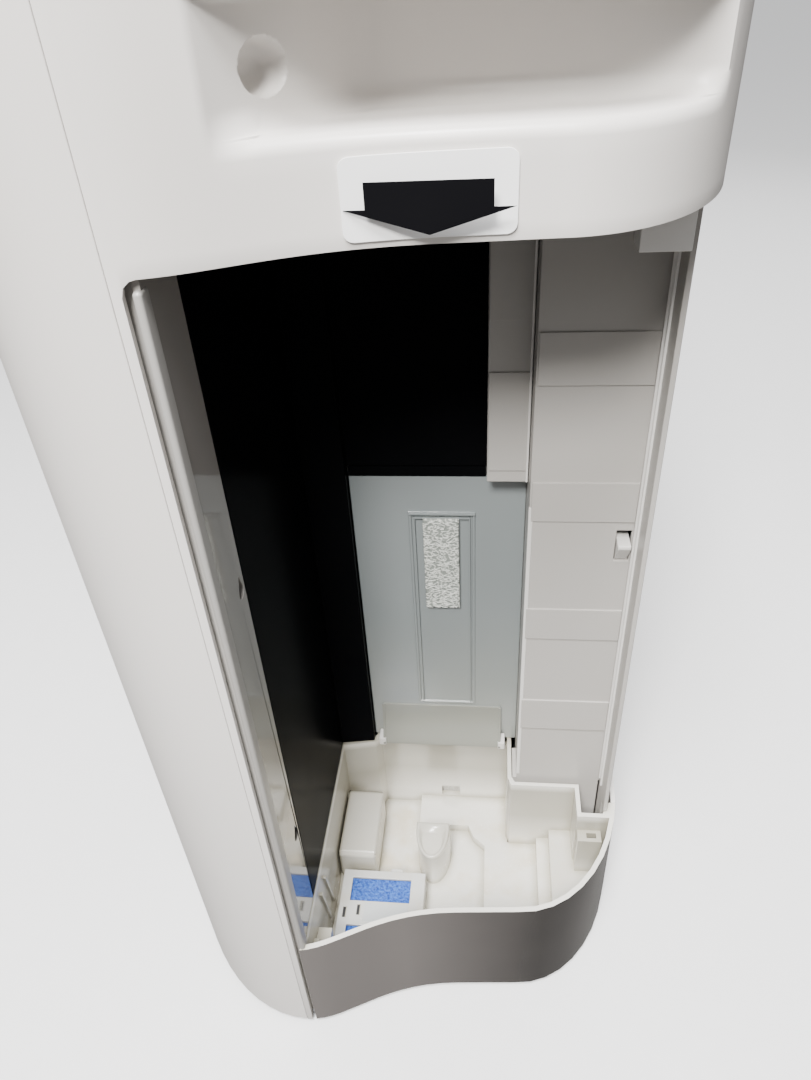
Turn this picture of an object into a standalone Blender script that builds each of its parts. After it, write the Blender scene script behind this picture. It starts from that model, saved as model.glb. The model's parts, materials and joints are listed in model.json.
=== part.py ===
"""Side-tank dehumidifier with its water tank lifted out, as separate named sub-parts.

Metres, +Z up. The origin is on the floor under the middle of the machine. +X is the side the
tank goes in at, -Y is the front, +Y the back with the air intake.
"""
import bmesh
import bpy
from math import cos, hypot, pi, radians, sin, sqrt
from mathutils import Vector

# ---- Driving dimensions ------------------------------------------------------------------
WIDTH = 0.370             # overall, across the two sides
DEPTH = 0.296             # overall, front to back
HEIGHT = 0.600            # floor to the top of the cover
FOOT_HEIGHT = 0.004
WALL = 0.0028             # casing wall
LINER_WALL = 0.0025       # bay liners, ducts, tray walls
GAP = 0.0003              # between pieces that touch
SLIDE_GAP = 0.0005        # beside pieces that slide

# Plan outline: half an ellipse at the front, a waisted S on each side, round rear corners.
FRONT_BULGE = 0.1075      # front half-ellipse, seam to nose
SHOULDER_PULL = 0.025     # how far the side runs straight after the seam
WAIST_PULL = 0.050        # how softly the S comes back to straight
WAIST_INSET = 0.0275      # how far the side comes in at its waist
WAIST_TO_BACK = 0.098     # waist to the back face
CORNER_INSET = 0.030      # side inset where the rear corner begins
CORNER_WIDTH = 0.091      # rear corner, along X
CORNER_DEPTH = 0.063      # rear corner, along Y

# Casing heights
COVER_DEPTH = 0.028       # top cover, below the top
GRIP_DROP = 0.081         # hand grip's upper edge, below the top
GRIP_HEIGHT = 0.032
OPENING_DROP = 0.031      # tank opening's upper edge, below the hand grip
BAY_HEADROOM = 0.014      # bay ceiling above that edge
PAN_THICK = 0.004         # base pan
PAN_RIM = 0.014           # its upstanding rim

# Hand grip in each side
GRIP_Y = (-0.0152, 0.133)
GRIP_DEPTH = 0.035
GRIP_SLANT = 0.0412       # run of its slanted front end

# Tank bay. The plan distances run in from the tank side.
BAY_START = 0.008         # front wall of the bay, behind the seam
BAY_END = 0.0095          # rear wall of the bay, before the back of the machine
REVEAL_IN = 0.031         # the pale reveal ends here and the dark liner begins
BLOCK_IN = 0.140          # face of the corner block
STEP_IN = 0.1445          # dark step beside the back wall
BACK_IN = 0.153           # back wall of the bay
RIB_IN = 0.121            # pale ribbed wall
REAR_WALL_IN = 0.098      # end of the bay's rear wall
STEP_BEHIND = 0.0215      # length of the step, from the front wall
BLOCK_SPAN = (0.0530, 0.0745)   # corner block, from the rear wall
SPLASH_TOP = 0.298
SPLASH_SLOT = 0.0065      # dark slot over the splash cover
BLOCK_LIFT = 0.005        # corner block above the splash cover
LATCH_BEFORE = 0.002      # tank latch, from the rear wall
LATCH_SIZE = (0.0065, 0.013)
LATCH_TOP = 0.281
LATCH_REACH = 0.006
LATCH_SLOT = 0.0055       # dark slot over the latch
BRACKET_SIZE = (0.014, 0.0195, 0.024)

# Label and foam strip
LABEL_Y = (0.023, 0.073)
LABEL_HEIGHT = 0.023
LABEL_LIFT = 0.002        # above the opening
LABEL_RADIUS = 0.003
LABEL_THICK = 0.0005
FOAM_Y = (0.029, 0.049)
FOAM_Z = (0.208, 0.272)
FOAM_THICK = 0.004
POCKET_MARGIN = (0.008, 0.009)  # pocket rim past the foam, at the front and the back
POCKET_Z = (0.122, 0.275)

# Drain tray
TRAY_RIM = 0.087
TRAY_REAR_RIM = 0.082     # rim of its rear compartment
SLIDE_UNDER = 0.001       # liners above the tray rim
TRAY_FLOOR = 0.015
TRAY_PLATFORM = 0.022
TRAY_SHELF = 0.040
TRAY_TAIL_IN = 0.105      # front wall ends here, round the rear corner
TRAY_REAR_LENGTH = 0.092  # rear compartment, past the back of the bay
FLOAT_PIN_Z = 0.040
FLOAT_PIN_RADIUS = 0.0015
CARTRIDGE_TOP = 0.035

# Back: filters, gland and screws
INTAKE_LOW = 0.120
INTAKE_DROP = 0.100       # intake's upper edge, below the top
SLAT_PITCH = 0.016
SLAT_OPENING = 0.009
FILTER_DUCT = 0.048       # depth of the duct that holds the filters
PREFILTER_THICK = 0.003
PLEAT_DEPTH = 0.026
GLAND_RADIUS = 0.007
GLAND_Z = 0.040
SCREW_RADIUS = 0.0022

# Moisture wheel
WHEEL_TEETH = 60
PINION_TEETH = 12
GEAR_MODULE = 2.667e-3
PINION_ANGLE = radians(240)
GEAR_THICK = 0.006
WHEEL_THICK = 0.028
WHEEL_AXLE = 0.0055
WHEEL_INBOARD = 0.0924    # wheel's centre, from the bulkhead
WHEEL_DROP = 0.170        # wheel's centre, below the bay ceiling
FRAME_THICK = 0.0035
CONDENSER_THICK = 0.0122
HEATER_THICK = 0.0144

# Main fan
FAN_INBOARD = 0.0384      # fan's centre, from the bulkhead
FAN_DROP = 0.156          # fan's centre, below the tank opening's upper edge
FAN_RADIUS = 0.085
FAN_WIDTH = 0.052
FAN_BLADES = 24
SCROLL_START = 0.094
SCROLL_END = 0.118
HOUSING_DEPTH = 0.065
FAN_SPACE = 0.008         # fan wheel from the housing's front
SHAFT_RADIUS = 0.004
NECK_DROP = 0.026         # housing's neck, below the tank opening's upper edge

# Outlet and controls
TOP_RADIUS = 0.012        # round edge of the top cover
OUTLET_X = 0.105          # half width of the air outlet
OUTLET_BACK = 0.035       # outlet, behind the nose of the front
OUTLET_LENGTH = 0.056
COLLAR_DEPTH = 0.016
LOUVER_PIN = 0.0012
LOUVER_PIN_BACK = 0.0045  # pin before the outlet's rear edge
LOUVER_PIN_DROP = 0.0045  # pin below the cover's top face
LOUVER_THICK = 0.0024
PANEL_X = 0.082
PANEL_Y = (-0.030, 0.032)
PANEL_SEAT = 0.0038       # depth of the control panel's seat below the top
PANEL_SUNK = 0.0007       # panel and louver below the top
LEDGE = 0.004
BUTTON_NAMES = ("button_power", "button_mode", "button_speed", "button_timer", "button_lock")
BUTTON_SIZE = (0.018, 0.009)
BUTTON_PITCH = 0.030
BUTTON_Y = -0.016
BUTTON_TRAVEL = 0.0015
DISPLAY_SIZE = (0.070, 0.020)
DISPLAY_Y = 0.012

# Worked out from the above
HALF_W = WIDTH / 2
HALF_D = DEPTH / 2
SEAM_Y = -HALF_D + FRONT_BULGE
COVER_Z = HEIGHT - COVER_DEPTH
GRIP_Z = (HEIGHT - GRIP_DROP - GRIP_HEIGHT, HEIGHT - GRIP_DROP)
BAY_TOP = GRIP_Z[0] - OPENING_DROP
BAY_CEILING = BAY_TOP + BAY_HEADROOM
LABEL_Z = (BAY_TOP + LABEL_LIFT, BAY_TOP + LABEL_LIFT + LABEL_HEIGHT)
BAY_FRONT_Y = SEAM_Y + BAY_START
BAY_REAR_Y = HALF_D - BAY_END
REVEAL_X = HALF_W - REVEAL_IN
STEP_X = HALF_W - STEP_IN
STEP_Y = BAY_FRONT_Y + STEP_BEHIND
BAY_BACK_X = HALF_W - BACK_IN
BLOCK_X = HALF_W - BLOCK_IN
DARK_END_Y = BAY_REAR_Y - BLOCK_SPAN[1]
BLOCK_END_Y = BAY_REAR_Y - BLOCK_SPAN[0]
RIB_X = HALF_W - RIB_IN
BAY_REAR_END_X = HALF_W - REAR_WALL_IN
LATCH_Y = (BAY_REAR_Y - LATCH_BEFORE - LATCH_SIZE[0], BAY_REAR_Y - LATCH_BEFORE)
LATCH_Z = (LATCH_TOP - LATCH_SIZE[1], LATCH_TOP)
REAR_HALF = HALF_W - CORNER_INSET - CORNER_WIDTH      # half width of the flat back
REAR_SPLIT = REAR_HALF - 0.009                        # lower rear corner leaves with the tank
LINER_Z = TRAY_RIM + SLIDE_UNDER
PAN_TOP = FOOT_HEIGHT + PAN_THICK
TRAY_Z = PAN_TOP + 2 * SLIDE_GAP
TRAY_SKIN_Y = BAY_FRONT_Y - LINER_WALL                # where its front wall starts
TRAY_TAIL_X = HALF_W - TRAY_TAIL_IN
TRAY_REAR_X = BAY_BACK_X - TRAY_REAR_LENGTH
BULKHEAD_X = BAY_BACK_X - LINER_WALL - GAP - WALL     # far face of the bulkhead
INTAKE_X = (-REAR_HALF + 0.006, BULKHEAD_X - 0.0044)
INTAKE_Z = (INTAKE_LOW, HEIGHT - INTAKE_DROP)
FILTER_DUCT_Y = HALF_D - FILTER_DUCT
GLAND_AT = (INTAKE_X[0] + 0.018, GLAND_Z)
SCREW_PLACES = [(x, z) for z in (INTAKE_Z[0] - 0.035, INTAKE_Z[1] + 0.035)
                for x in (-REAR_HALF + 0.012, REAR_SPLIT - 0.013)]
CONDENSER_Y = (FILTER_DUCT_Y - GAP - CONDENSER_THICK, FILTER_DUCT_Y - GAP)
WHEEL_END_Y = CONDENSER_Y[0] - GAP - HEATER_THICK - 0.0008
WHEEL_Y = (WHEEL_END_Y - WHEEL_THICK, WHEEL_END_Y)
FRAME_Y = (WHEEL_Y[0] - 0.0025 - FRAME_THICK, WHEEL_Y[0] - 0.0025)
WHEEL_AT = (BULKHEAD_X - WHEEL_INBOARD, BAY_CEILING - WHEEL_DROP)
FAN_AT = (BULKHEAD_X - FAN_INBOARD, BAY_TOP - FAN_DROP)
HOUSING_Y = (SEAM_Y - HOUSING_DEPTH - 0.0005, SEAM_Y - 0.0005)
COVER_REAR_Y = HOUSING_Y[1] + GAP + LINER_WALL
FAN_Y = (HOUSING_Y[0] + FAN_SPACE, HOUSING_Y[0] + FAN_SPACE + FAN_WIDTH)
NECK_TOP = BAY_TOP - NECK_DROP
DUCT_TOP = HEIGHT - WALL - COLLAR_DEPTH - GAP         # air duct meets the outlet's collar
OUTLET_Y = (-HALF_D + OUTLET_BACK, -HALF_D + OUTLET_BACK + OUTLET_LENGTH)
LOUVER_PIN_Y = OUTLET_Y[1] - LOUVER_PIN_BACK

COLOURS = {
    "casing": (0.80, 0.78, 0.75, 0.42, 0.0),
    "reveal": (0.74, 0.72, 0.69, 0.20, 0.0),
    "tray_white": (0.82, 0.80, 0.75, 0.35, 0.0),
    "gloss_black": (0.008, 0.008, 0.010, 0.10, 0.0),
    "liner_white": (0.70, 0.69, 0.67, 0.45, 0.0),
    "splash_grey": (0.52, 0.57, 0.60, 0.30, 0.0),
    "foam": (0.82, 0.83, 0.80, 0.95, 0.0),
    "label": (0.90, 0.90, 0.90, 0.30, 0.0),
    "sponge_blue": (0.12, 0.30, 0.72, 0.95, 0.0),
    "case_grey": (0.66, 0.66, 0.64, 0.45, 0.0),
    "dark_plastic": (0.06, 0.06, 0.065, 0.50, 0.0),
    "frame_plastic": (0.30, 0.31, 0.32, 0.55, 0.0),
    "rubber": (0.04, 0.04, 0.04, 0.80, 0.0),
    "steel": (0.60, 0.60, 0.60, 0.30, 1.0),
    "aluminium": (0.75, 0.76, 0.77, 0.35, 1.0),
    "filter_white": (0.86, 0.87, 0.85, 0.90, 0.0),
    "zeolite": (0.72, 0.66, 0.55, 0.90, 0.0),
    "board_green": (0.03, 0.22, 0.10, 0.45, 0.0),
    "lens": (0.02, 0.02, 0.03, 0.08, 0.0),
}


# ---- Small tools -------------------------------------------------------------------------
def material(name):
    """The named finish, made once."""
    if name in bpy.data.materials:
        return bpy.data.materials[name]
    red, green, blue, rough, metal = COLOURS[name]
    mat = bpy.data.materials.new(name)
    mat.use_nodes = True
    shader = mat.node_tree.nodes["Principled BSDF"]
    shader.inputs["Base Color"].default_value = (red, green, blue, 1)
    shader.inputs["Roughness"].default_value = rough
    shader.inputs["Metallic"].default_value = metal
    mat.diffuse_color = (red, green, blue, 1)
    return mat


def add(name, bm, finish=None):
    """Turns a bmesh into an object with its faces pointing out; without a finish it is a cutter."""
    bmesh.ops.recalc_face_normals(bm, faces=bm.faces)
    mesh = bpy.data.meshes.new(name)
    bm.to_mesh(mesh)
    bm.free()
    obj = bpy.data.objects.new(name, mesh)
    bpy.context.scene.collection.objects.link(obj)
    if finish:
        mesh.materials.append(material(finish))
    else:
        obj.hide_render = True
        obj.display_type = "WIRE"
    return obj


def prism(name, outline, low, high, finish=None, axis="Z"):
    """Extrudes a closed outline along an axis. For axis Y the outline is (x, z), for X (y, z)."""
    place = {"Z": lambda a, b, c: (a, b, c), "Y": lambda a, b, c: (a, c, b),
             "X": lambda a, b, c: (c, a, b)}[axis]
    bm = bmesh.new()
    base = [bm.verts.new(place(a, b, low)) for a, b in outline]
    cap = [bm.verts.new(place(a, b, high)) for a, b in outline]
    bm.faces.new(base)
    bm.faces.new(cap)
    count = len(outline)
    for i in range(count):
        j = (i + 1) % count
        bm.faces.new((base[i], base[j], cap[j], cap[i]))
    return add(name, bm, finish)


def box(name, low, high, finish=None):
    """A box from corner to corner."""
    corners = [(low[0], low[1]), (high[0], low[1]), (high[0], high[1]), (low[0], high[1])]
    return prism(name, corners, low[2], high[2], finish)


def circle(centre, radius, count=32, turn=0.0):
    """Points round a circle."""
    return [(centre[0] + radius * cos(turn + 2 * pi * i / count),
             centre[1] + radius * sin(turn + 2 * pi * i / count)) for i in range(count)]


def rounded(low, high, radius, steps=4):
    """A rectangle with round corners, counter-clockwise."""
    points = []
    for cx, cy, start in ((high[0], high[1], 0), (low[0], high[1], 90), (low[0], low[1], 180),
                          (high[0], low[1], 270)):
        cx += radius if cx == low[0] else -radius
        cy += radius if cy == low[1] else -radius
        for i in range(steps + 1):
            turn = radians(start + 90 * i / steps)
            points.append((cx + radius * cos(turn), cy + radius * sin(turn)))
    return points


def offset(path, distance):
    """Moves an open path sideways; positive is to the right of its direction of travel."""
    normals = []
    for (x0, y0), (x1, y1) in zip(path, path[1:]):
        length = hypot(x1 - x0, y1 - y0)
        normals.append(((y1 - y0) / length, -(x1 - x0) / length))
    moved = []
    for i, (x, y) in enumerate(path):
        before = normals[max(i - 1, 0)]
        after = normals[min(i, len(normals) - 1)]
        scale = distance / (1 + before[0] * after[0] + before[1] * after[1])
        moved.append((x + scale * (before[0] + after[0]), y + scale * (before[1] + after[1])))
    return moved


def clip(path, axis, value, above):
    """The stretch of a path whose coordinate is above (or below) a value, cut exactly there."""
    kept = []
    for start, end in zip(path, path[1:]):
        inside = [(p[axis] >= value) == above for p in (start, end)]
        if inside[0]:
            kept.append(start)
        if inside[0] != inside[1]:
            share = (value - start[axis]) / (end[axis] - start[axis])
            kept.append(tuple(s + share * (e - s) for s, e in zip(start, end)))
    if (path[-1][axis] >= value) == above:
        kept.append(path[-1])
    apart = [kept[0]]
    for point in kept[1:]:
        if hypot(point[0] - apart[-1][0], point[1] - apart[-1][1]) > 1e-5:
            apart.append(point)
    return apart


def wall(path, thickness, *limits):
    """A closed outline with the path as its outer face, both faces cut at the same limits."""
    outer, inner = path, offset(path, -thickness)
    for limit in limits:
        outer, inner = clip(outer, *limit), clip(inner, *limit)
    return outer + inner[::-1]


def mirrored(points):
    """Points mirrored across the middle of the machine, still counter-clockwise."""
    return [(-x, y) for x, y in points][::-1]


def cut(target, *cutters):
    """Takes cutters out of a piece."""
    for cutter in cutters:
        step = target.modifiers.new("cut", "BOOLEAN")
        step.operation = "DIFFERENCE"
        step.object = cutter


def join(target, *pieces):
    """Fuses extra material onto a piece."""
    for piece in pieces:
        step = target.modifiers.new("join", "BOOLEAN")
        step.operation = "UNION"
        step.object = piece


# ---- Casing outline ----------------------------------------------------------------------
def front_path(steps=40):
    """Front half-ellipse, from the left seam round the nose to the right seam."""
    return [(HALF_W * cos(pi + pi * i / steps), SEAM_Y + FRONT_BULGE * sin(pi + pi * i / steps))
            for i in range(steps + 1)]


def side_path(curve_steps=14, corner_steps=10):
    """Right side, from the seam through the waist and round the rear corner to the middle."""
    waist = (HALF_W - WAIST_INSET, HALF_D - WAIST_TO_BACK)
    corner = (HALF_W - CORNER_INSET, HALF_D - CORNER_DEPTH)
    lean = Vector((corner[0] - waist[0], corner[1] - waist[1])).normalized()
    knots = [Vector((HALF_W, SEAM_Y)), Vector((HALF_W, SEAM_Y + SHOULDER_PULL)),
             Vector(waist) - lean * WAIST_PULL, Vector(waist)]
    path = []
    for i in range(curve_steps + 1):
        t = i / curve_steps
        weights = ((1 - t) ** 3, 3 * t * (1 - t) ** 2, 3 * t * t * (1 - t), t ** 3)
        path.append(tuple(sum((k * w for k, w in zip(knots, weights)), Vector((0, 0)))))
    for i in range(corner_steps + 1):
        turn = pi / 2 * i / corner_steps
        path.append((corner[0] - CORNER_WIDTH * (1 - cos(turn)),
                     corner[1] + CORNER_DEPTH * sin(turn)))
    path.append((0.0, HALF_D))
    return path


def full_outline(inset=0.0):
    """The whole casing outline, counter-clockwise from the right seam."""
    right = offset(side_path(), -inset)
    front = offset(front_path(), -inset)
    return right[:-1] + mirrored(right[:-1]) + front[1:-1]


# ---- Base --------------------------------------------------------------------------------
def make_base():
    """Base pan with an upstanding rim everywhere but under the tank bay, on four feet."""
    inset = WALL + GAP
    pan = prism("base_pan", full_outline(inset), FOOT_HEIGHT, PAN_TOP, "frame_plastic")
    left = clip(offset(mirrored(side_path()), -inset), 0, -REAR_HALF, False)
    rim_path = offset(left[:-1] + offset(front_path(), -inset), -GAP)
    join(pan, prism("pan_rim", wall(rim_path, LINER_WALL), FOOT_HEIGHT + GAP, PAN_TOP + PAN_RIM))
    front_x, rear_x = HALF_W - 0.060, HALF_W - 0.080
    front_y, rear_y = SEAM_Y - 0.0395, HALF_D - 0.043
    for name, x, y in (("foot_front_left", -front_x, front_y), ("foot_front_right", front_x, front_y),
                       ("foot_rear_left", -rear_x, rear_y), ("foot_rear_right", rear_x, rear_y)):
        foot = prism(name, circle((x, y), 0.011, 24), 0.0, FOOT_HEIGHT - GAP, "rubber")
        join(foot, prism(name + "_peg", circle((x, y), 0.003, 12), 0.0, FOOT_HEIGHT + 0.003))
        cut(pan, prism(name + "_hole", circle((x, y), 0.003 + GAP, 12), 0.0, PAN_TOP - 0.0007))


# ---- Casing ------------------------------------------------------------------------------
def make_front_panel():
    """Plain bowed front."""
    outline = wall(front_path(), WALL, (1, SEAM_Y - GAP / 2, False))
    prism("front_panel", outline, FOOT_HEIGHT, COVER_Z - GAP, "casing")


def grip_outline(inset):
    """Plan of the hand grip: slanted at the front end, straight at the back."""
    outer = HALF_W + 0.02
    back = HALF_W - WAIST_INSET - GRIP_DEPTH
    start, end = GRIP_Y
    slope = GRIP_DEPTH + WAIST_INSET
    lead = GRIP_SLANT * (outer - HALF_W) / slope
    return [(back - inset, end + inset), (back - inset, start + GRIP_SLANT - inset),
            (outer, start - lead - inset), (outer, end + inset)]


def add_grip(panel, side):
    """Sinks the hand grip pocket into a side panel: first its walls, then its hollow."""
    turn = mirrored if side == "left" else list
    inside = full_outline(WALL / 2)
    tub = prism(side + "_grip_tub", turn(grip_outline(WALL)), GRIP_Z[0] - WALL, GRIP_Z[1] + WALL)
    trim = tub.modifiers.new("trim", "BOOLEAN")
    trim.operation = "INTERSECT"
    trim.object = prism(side + "_grip_limit", inside, 0, HEIGHT)
    join(panel, tub)
    cut(panel, prism(side + "_grip_hollow", turn(grip_outline(0)), *GRIP_Z))


def make_side_panels():
    """Left side is closed; right side is open for the tank, with a pale reveal at its front."""
    seam = (1, SEAM_Y + GAP / 2, True)
    outline = mirrored(wall(side_path(), WALL, seam, (0, REAR_HALF, True)))
    left = prism("side_panel_left", outline, FOOT_HEIGHT, COVER_Z - GAP, "casing")
    add_grip(left, "left")

    outline = wall(side_path(), WALL, seam, (0, REAR_SPLIT, True))
    right = prism("side_panel_right", outline, FOOT_HEIGHT, COVER_Z - GAP, "casing")
    cut(right, box("bay_cut", (0, BAY_FRONT_Y, -0.01), (0.3, 0.3, BAY_TOP)),
        box("tray_cut", (0, TRAY_SKIN_Y - GAP, -0.01), (0.3, 0, TRAY_RIM + GAP)))
    join(right, box("reveal", (REVEAL_X, BAY_FRONT_Y - LINER_WALL, TRAY_RIM + GAP),
                    (HALF_W - WALL / 2, BAY_FRONT_Y, BAY_CEILING)))
    add_grip(right, "right")


def make_rear_panel():
    """Flat back with the intake window, and a duct inside it that holds the filters."""
    y0 = HALF_D - WALL
    left, right = -REAR_HALF + GAP, REAR_SPLIT - GAP
    top = COVER_Z - GAP
    panel = box("rear_panel", (left, y0, FOOT_HEIGHT), (right, HALF_D, top), "casing")
    (x0, x1), (z0, z1) = INTAKE_X, INTAKE_Z
    t = LINER_WALL
    sill = wall(side_path(), WALL, (0, right - LINER_WALL, True))
    sill = prism("rear_sill", sill, FOOT_HEIGHT, TRAY_RIM)
    trim = sill.modifiers.new("trim", "BOOLEAN")
    trim.operation = "INTERSECT"
    trim.object = box("sill_limit", (0, y0 - 0.02, 0), (TRAY_TAIL_X - GAP, HALF_D + 0.01, TRAY_RIM))
    join(panel, sill, box("filter_duct", (x0 - t, FILTER_DUCT_Y, z0 - t),
                          (x1 + t, HALF_D - WALL / 2, z1 + t)),
         box("rear_return", (right - t, BAY_REAR_Y, LINER_Z), (right, HALF_D - WALL / 2, BAY_TOP)))
    cut(panel, box("intake_window", (x0, FILTER_DUCT_Y - 0.01, z0), (x1, HALF_D + 0.01, z1)))
    cut(panel, prism("gland_hole", circle(GLAND_AT, GLAND_RADIUS + GAP, 24), y0 - 0.01,
                     HALF_D + 0.01, axis="Y"))
    for i, (x, z) in enumerate(SCREW_PLACES):
        cut(panel, prism(f"screw_hole_{i}", circle((x, z), SCREW_RADIUS + GAP, 12), y0 - 0.01,
                         HALF_D + 0.01, axis="Y"))


def make_rear_fittings():
    """Intake cover with slats, the two filters behind it, the cord gland and four screws."""
    (x0, x1), (z0, z1) = INTAKE_X, INTAKE_Z
    c = SLIDE_GAP
    low, high = HALF_D - 0.007, HALF_D - GAP
    cover = box("filter_cover", (x0 + c, low, z0 + c), (x1 - c, high, z1 - c), "casing")
    slots = int((z1 - z0 - 0.03) / SLAT_PITCH)
    first = (z0 + z1) / 2 - (slots - 1) / 2 * SLAT_PITCH
    for i in range(slots):
        z = first + i * SLAT_PITCH
        cut(cover, box(f"slat_{i}", (x0 + 0.008, low - 0.01, z - SLAT_OPENING / 2),
                       (x1 - 0.008, high + 0.01, z + SLAT_OPENING / 2)))

    back = low - GAP - PREFILTER_THICK
    net = box("prefilter", (x0 + c, back, z0 + c), (x1 - c, low - GAP, z1 - c), "dark_plastic")
    cells = 6
    pitch = (z1 - z0 - 0.008) / cells
    for i in range(cells):
        for j in (0, 1):
            a = x0 + 0.004 + j * (x1 - x0 - 0.008) / 2
            b = z0 + 0.004 + i * pitch
            cut(net, box(f"net_{i}_{j}", (a + 0.0015, low - 0.02, b + 0.0015),
                         (a + (x1 - x0 - 0.008) / 2 - 0.0015, low, b + pitch - 0.0015)))

    back -= GAP
    pleats = 9
    ridge = [(x0 + c + (x1 - x0 - 2 * c) * i / (2 * pleats), back if i % 2 else back - 0.004)
             for i in range(2 * pleats + 1)]
    front = [(x, y - PLEAT_DEPTH) for x, y in ridge][::-1]
    prism("hepa_filter", ridge + front, z0 + c, z1 - c, "filter_white")

    gland = prism("cord_gland", circle(GLAND_AT, GLAND_RADIUS, 24), HALF_D - 0.012, HALF_D - GAP,
                  "rubber", "Y")
    join(gland, prism("gland_lip", circle(GLAND_AT, GLAND_RADIUS + 0.003, 24), HALF_D - 0.012,
                      HALF_D - WALL - GAP, axis="Y"))
    cut(gland, prism("gland_bore", circle(GLAND_AT, 0.0036, 16), HALF_D - 0.02, HALF_D + 0.01,
                     axis="Y"))
    for i, (x, z) in enumerate(SCREW_PLACES):
        screw = prism(f"screw_{i + 1}", circle((x, z), SCREW_RADIUS, 12), HALF_D - 0.012,
                      HALF_D - GAP, "steel", "Y")
        slot = box(f"screw_slot_{i}", (x - 0.0017, HALF_D - 0.0015, z - 0.0004),
                   (x + 0.0017, HALF_D + 0.01, z + 0.0004))
        cut(screw, slot)


# ---- Tank bay ----------------------------------------------------------------------------
def make_bay():
    """Bulkhead, liners, corner block, ceiling, splash cover with its foam, latch and bracket."""
    t = LINER_WALL
    near = BULKHEAD_X + WALL
    box("bay_bulkhead", (BULKHEAD_X, COVER_REAR_Y + GAP, LINER_Z),
        (near, HALF_D - WALL - GAP, BAY_CEILING), "frame_plastic")

    dark = [(REVEAL_X - GAP, BAY_FRONT_Y), (STEP_X + 0.0015, BAY_FRONT_Y), (STEP_X - 0.0015, STEP_Y),
            (BAY_BACK_X, STEP_Y), (BAY_BACK_X, DARK_END_Y)]
    liner = prism("bay_liner_dark", wall(dark, t), LINER_Z, BAY_CEILING, "gloss_black")
    cut(liner, box("splash_cut", (BAY_BACK_X - t - 0.002, STEP_Y - GAP, 0),
                   (BAY_BACK_X + 0.001, DARK_END_Y + 0.01, SPLASH_TOP + SPLASH_SLOT)))

    box("bay_corner_block", (near + GAP, DARK_END_Y + GAP, SPLASH_TOP + BLOCK_LIFT),
        (BLOCK_X, BLOCK_END_Y - GAP, BAY_CEILING), "liner_white")
    pale = [(near + GAP, BLOCK_END_Y), (RIB_X, BLOCK_END_Y), (RIB_X, BAY_REAR_Y),
            (BAY_REAR_END_X, BAY_REAR_Y)]
    ribbed = prism("bay_liner_pale", wall(pale, t), LINER_Z, BAY_CEILING, "liner_white")
    foot = pale[:2] + [(RIB_X, BAY_REAR_Y - 0.0005)]
    join(ribbed, prism("liner_foot", wall(foot, t), PAN_TOP + GAP, LINER_Z + 0.001))
    join(ribbed, box("liner_tail", (REAR_SPLIT, BAY_REAR_Y, LINER_Z),
                     (RIB_X, BAY_REAR_Y + t, BAY_TOP)))
    cut(ribbed, box("latch_slot", (RIB_X - 0.01, LATCH_Y[0] - SLIDE_GAP, LATCH_Z[0] - SLIDE_GAP),
                    (RIB_X + 0.01, LATCH_Y[1] + SLIDE_GAP, LATCH_Z[1] + LATCH_SLOT)))

    edge = clip(offset(side_path(), -WALL - GAP), 1, BAY_FRONT_Y - t, True)
    edge = clip(edge, 1, BAY_REAR_Y + t, False)
    ceiling = edge + [(BULKHEAD_X, BAY_REAR_Y + t), (BULKHEAD_X, BAY_FRONT_Y - t)]
    prism("bay_ceiling", ceiling, BAY_CEILING + GAP, BAY_CEILING + GAP + t, "frame_plastic")

    splash = box("splash_cover", (near + GAP, STEP_Y + GAP, LINER_Z),
                 (BAY_BACK_X, BLOCK_END_Y - GAP, SPLASH_TOP), "splash_grey")
    rim = (FOAM_Y[0] - POCKET_MARGIN[0], FOAM_Y[1] + POCKET_MARGIN[1], *POCKET_Z)
    join(splash, box("pocket_rim", (BAY_BACK_X - 0.001, rim[0], rim[2]),
                     (BAY_BACK_X + 0.0012, rim[1], rim[3])))
    cut(splash, box("pocket", (BAY_BACK_X, rim[0] + 0.0015, rim[2] + 0.0015),
                    (BAY_BACK_X + 0.01, rim[1] - 0.0015, rim[3] - 0.0015)))
    box("foam_strip", (BAY_BACK_X + GAP, FOAM_Y[0], FOAM_Z[0]),
        (BAY_BACK_X + GAP + FOAM_THICK, FOAM_Y[1], FOAM_Z[1]), "foam")

    nose = [(RIB_X - 0.012, LATCH_Z[0]), (RIB_X - 0.001, LATCH_Z[0]),
            (RIB_X + LATCH_REACH, LATCH_Z[1] - 0.002), (RIB_X + LATCH_REACH, LATCH_Z[1]),
            (RIB_X - 0.012, LATCH_Z[1])]
    prism("tank_latch", nose, *LATCH_Y, "liner_white", "Y")
    end = BAY_REAR_END_X + 0.005
    box("bay_bracket", (end - BRACKET_SIZE[0], BAY_REAR_Y - BRACKET_SIZE[1], BAY_TOP - BRACKET_SIZE[2]),
        (end, BAY_REAR_Y - GAP, BAY_TOP - GAP), "liner_white")
    make_label()


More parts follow.
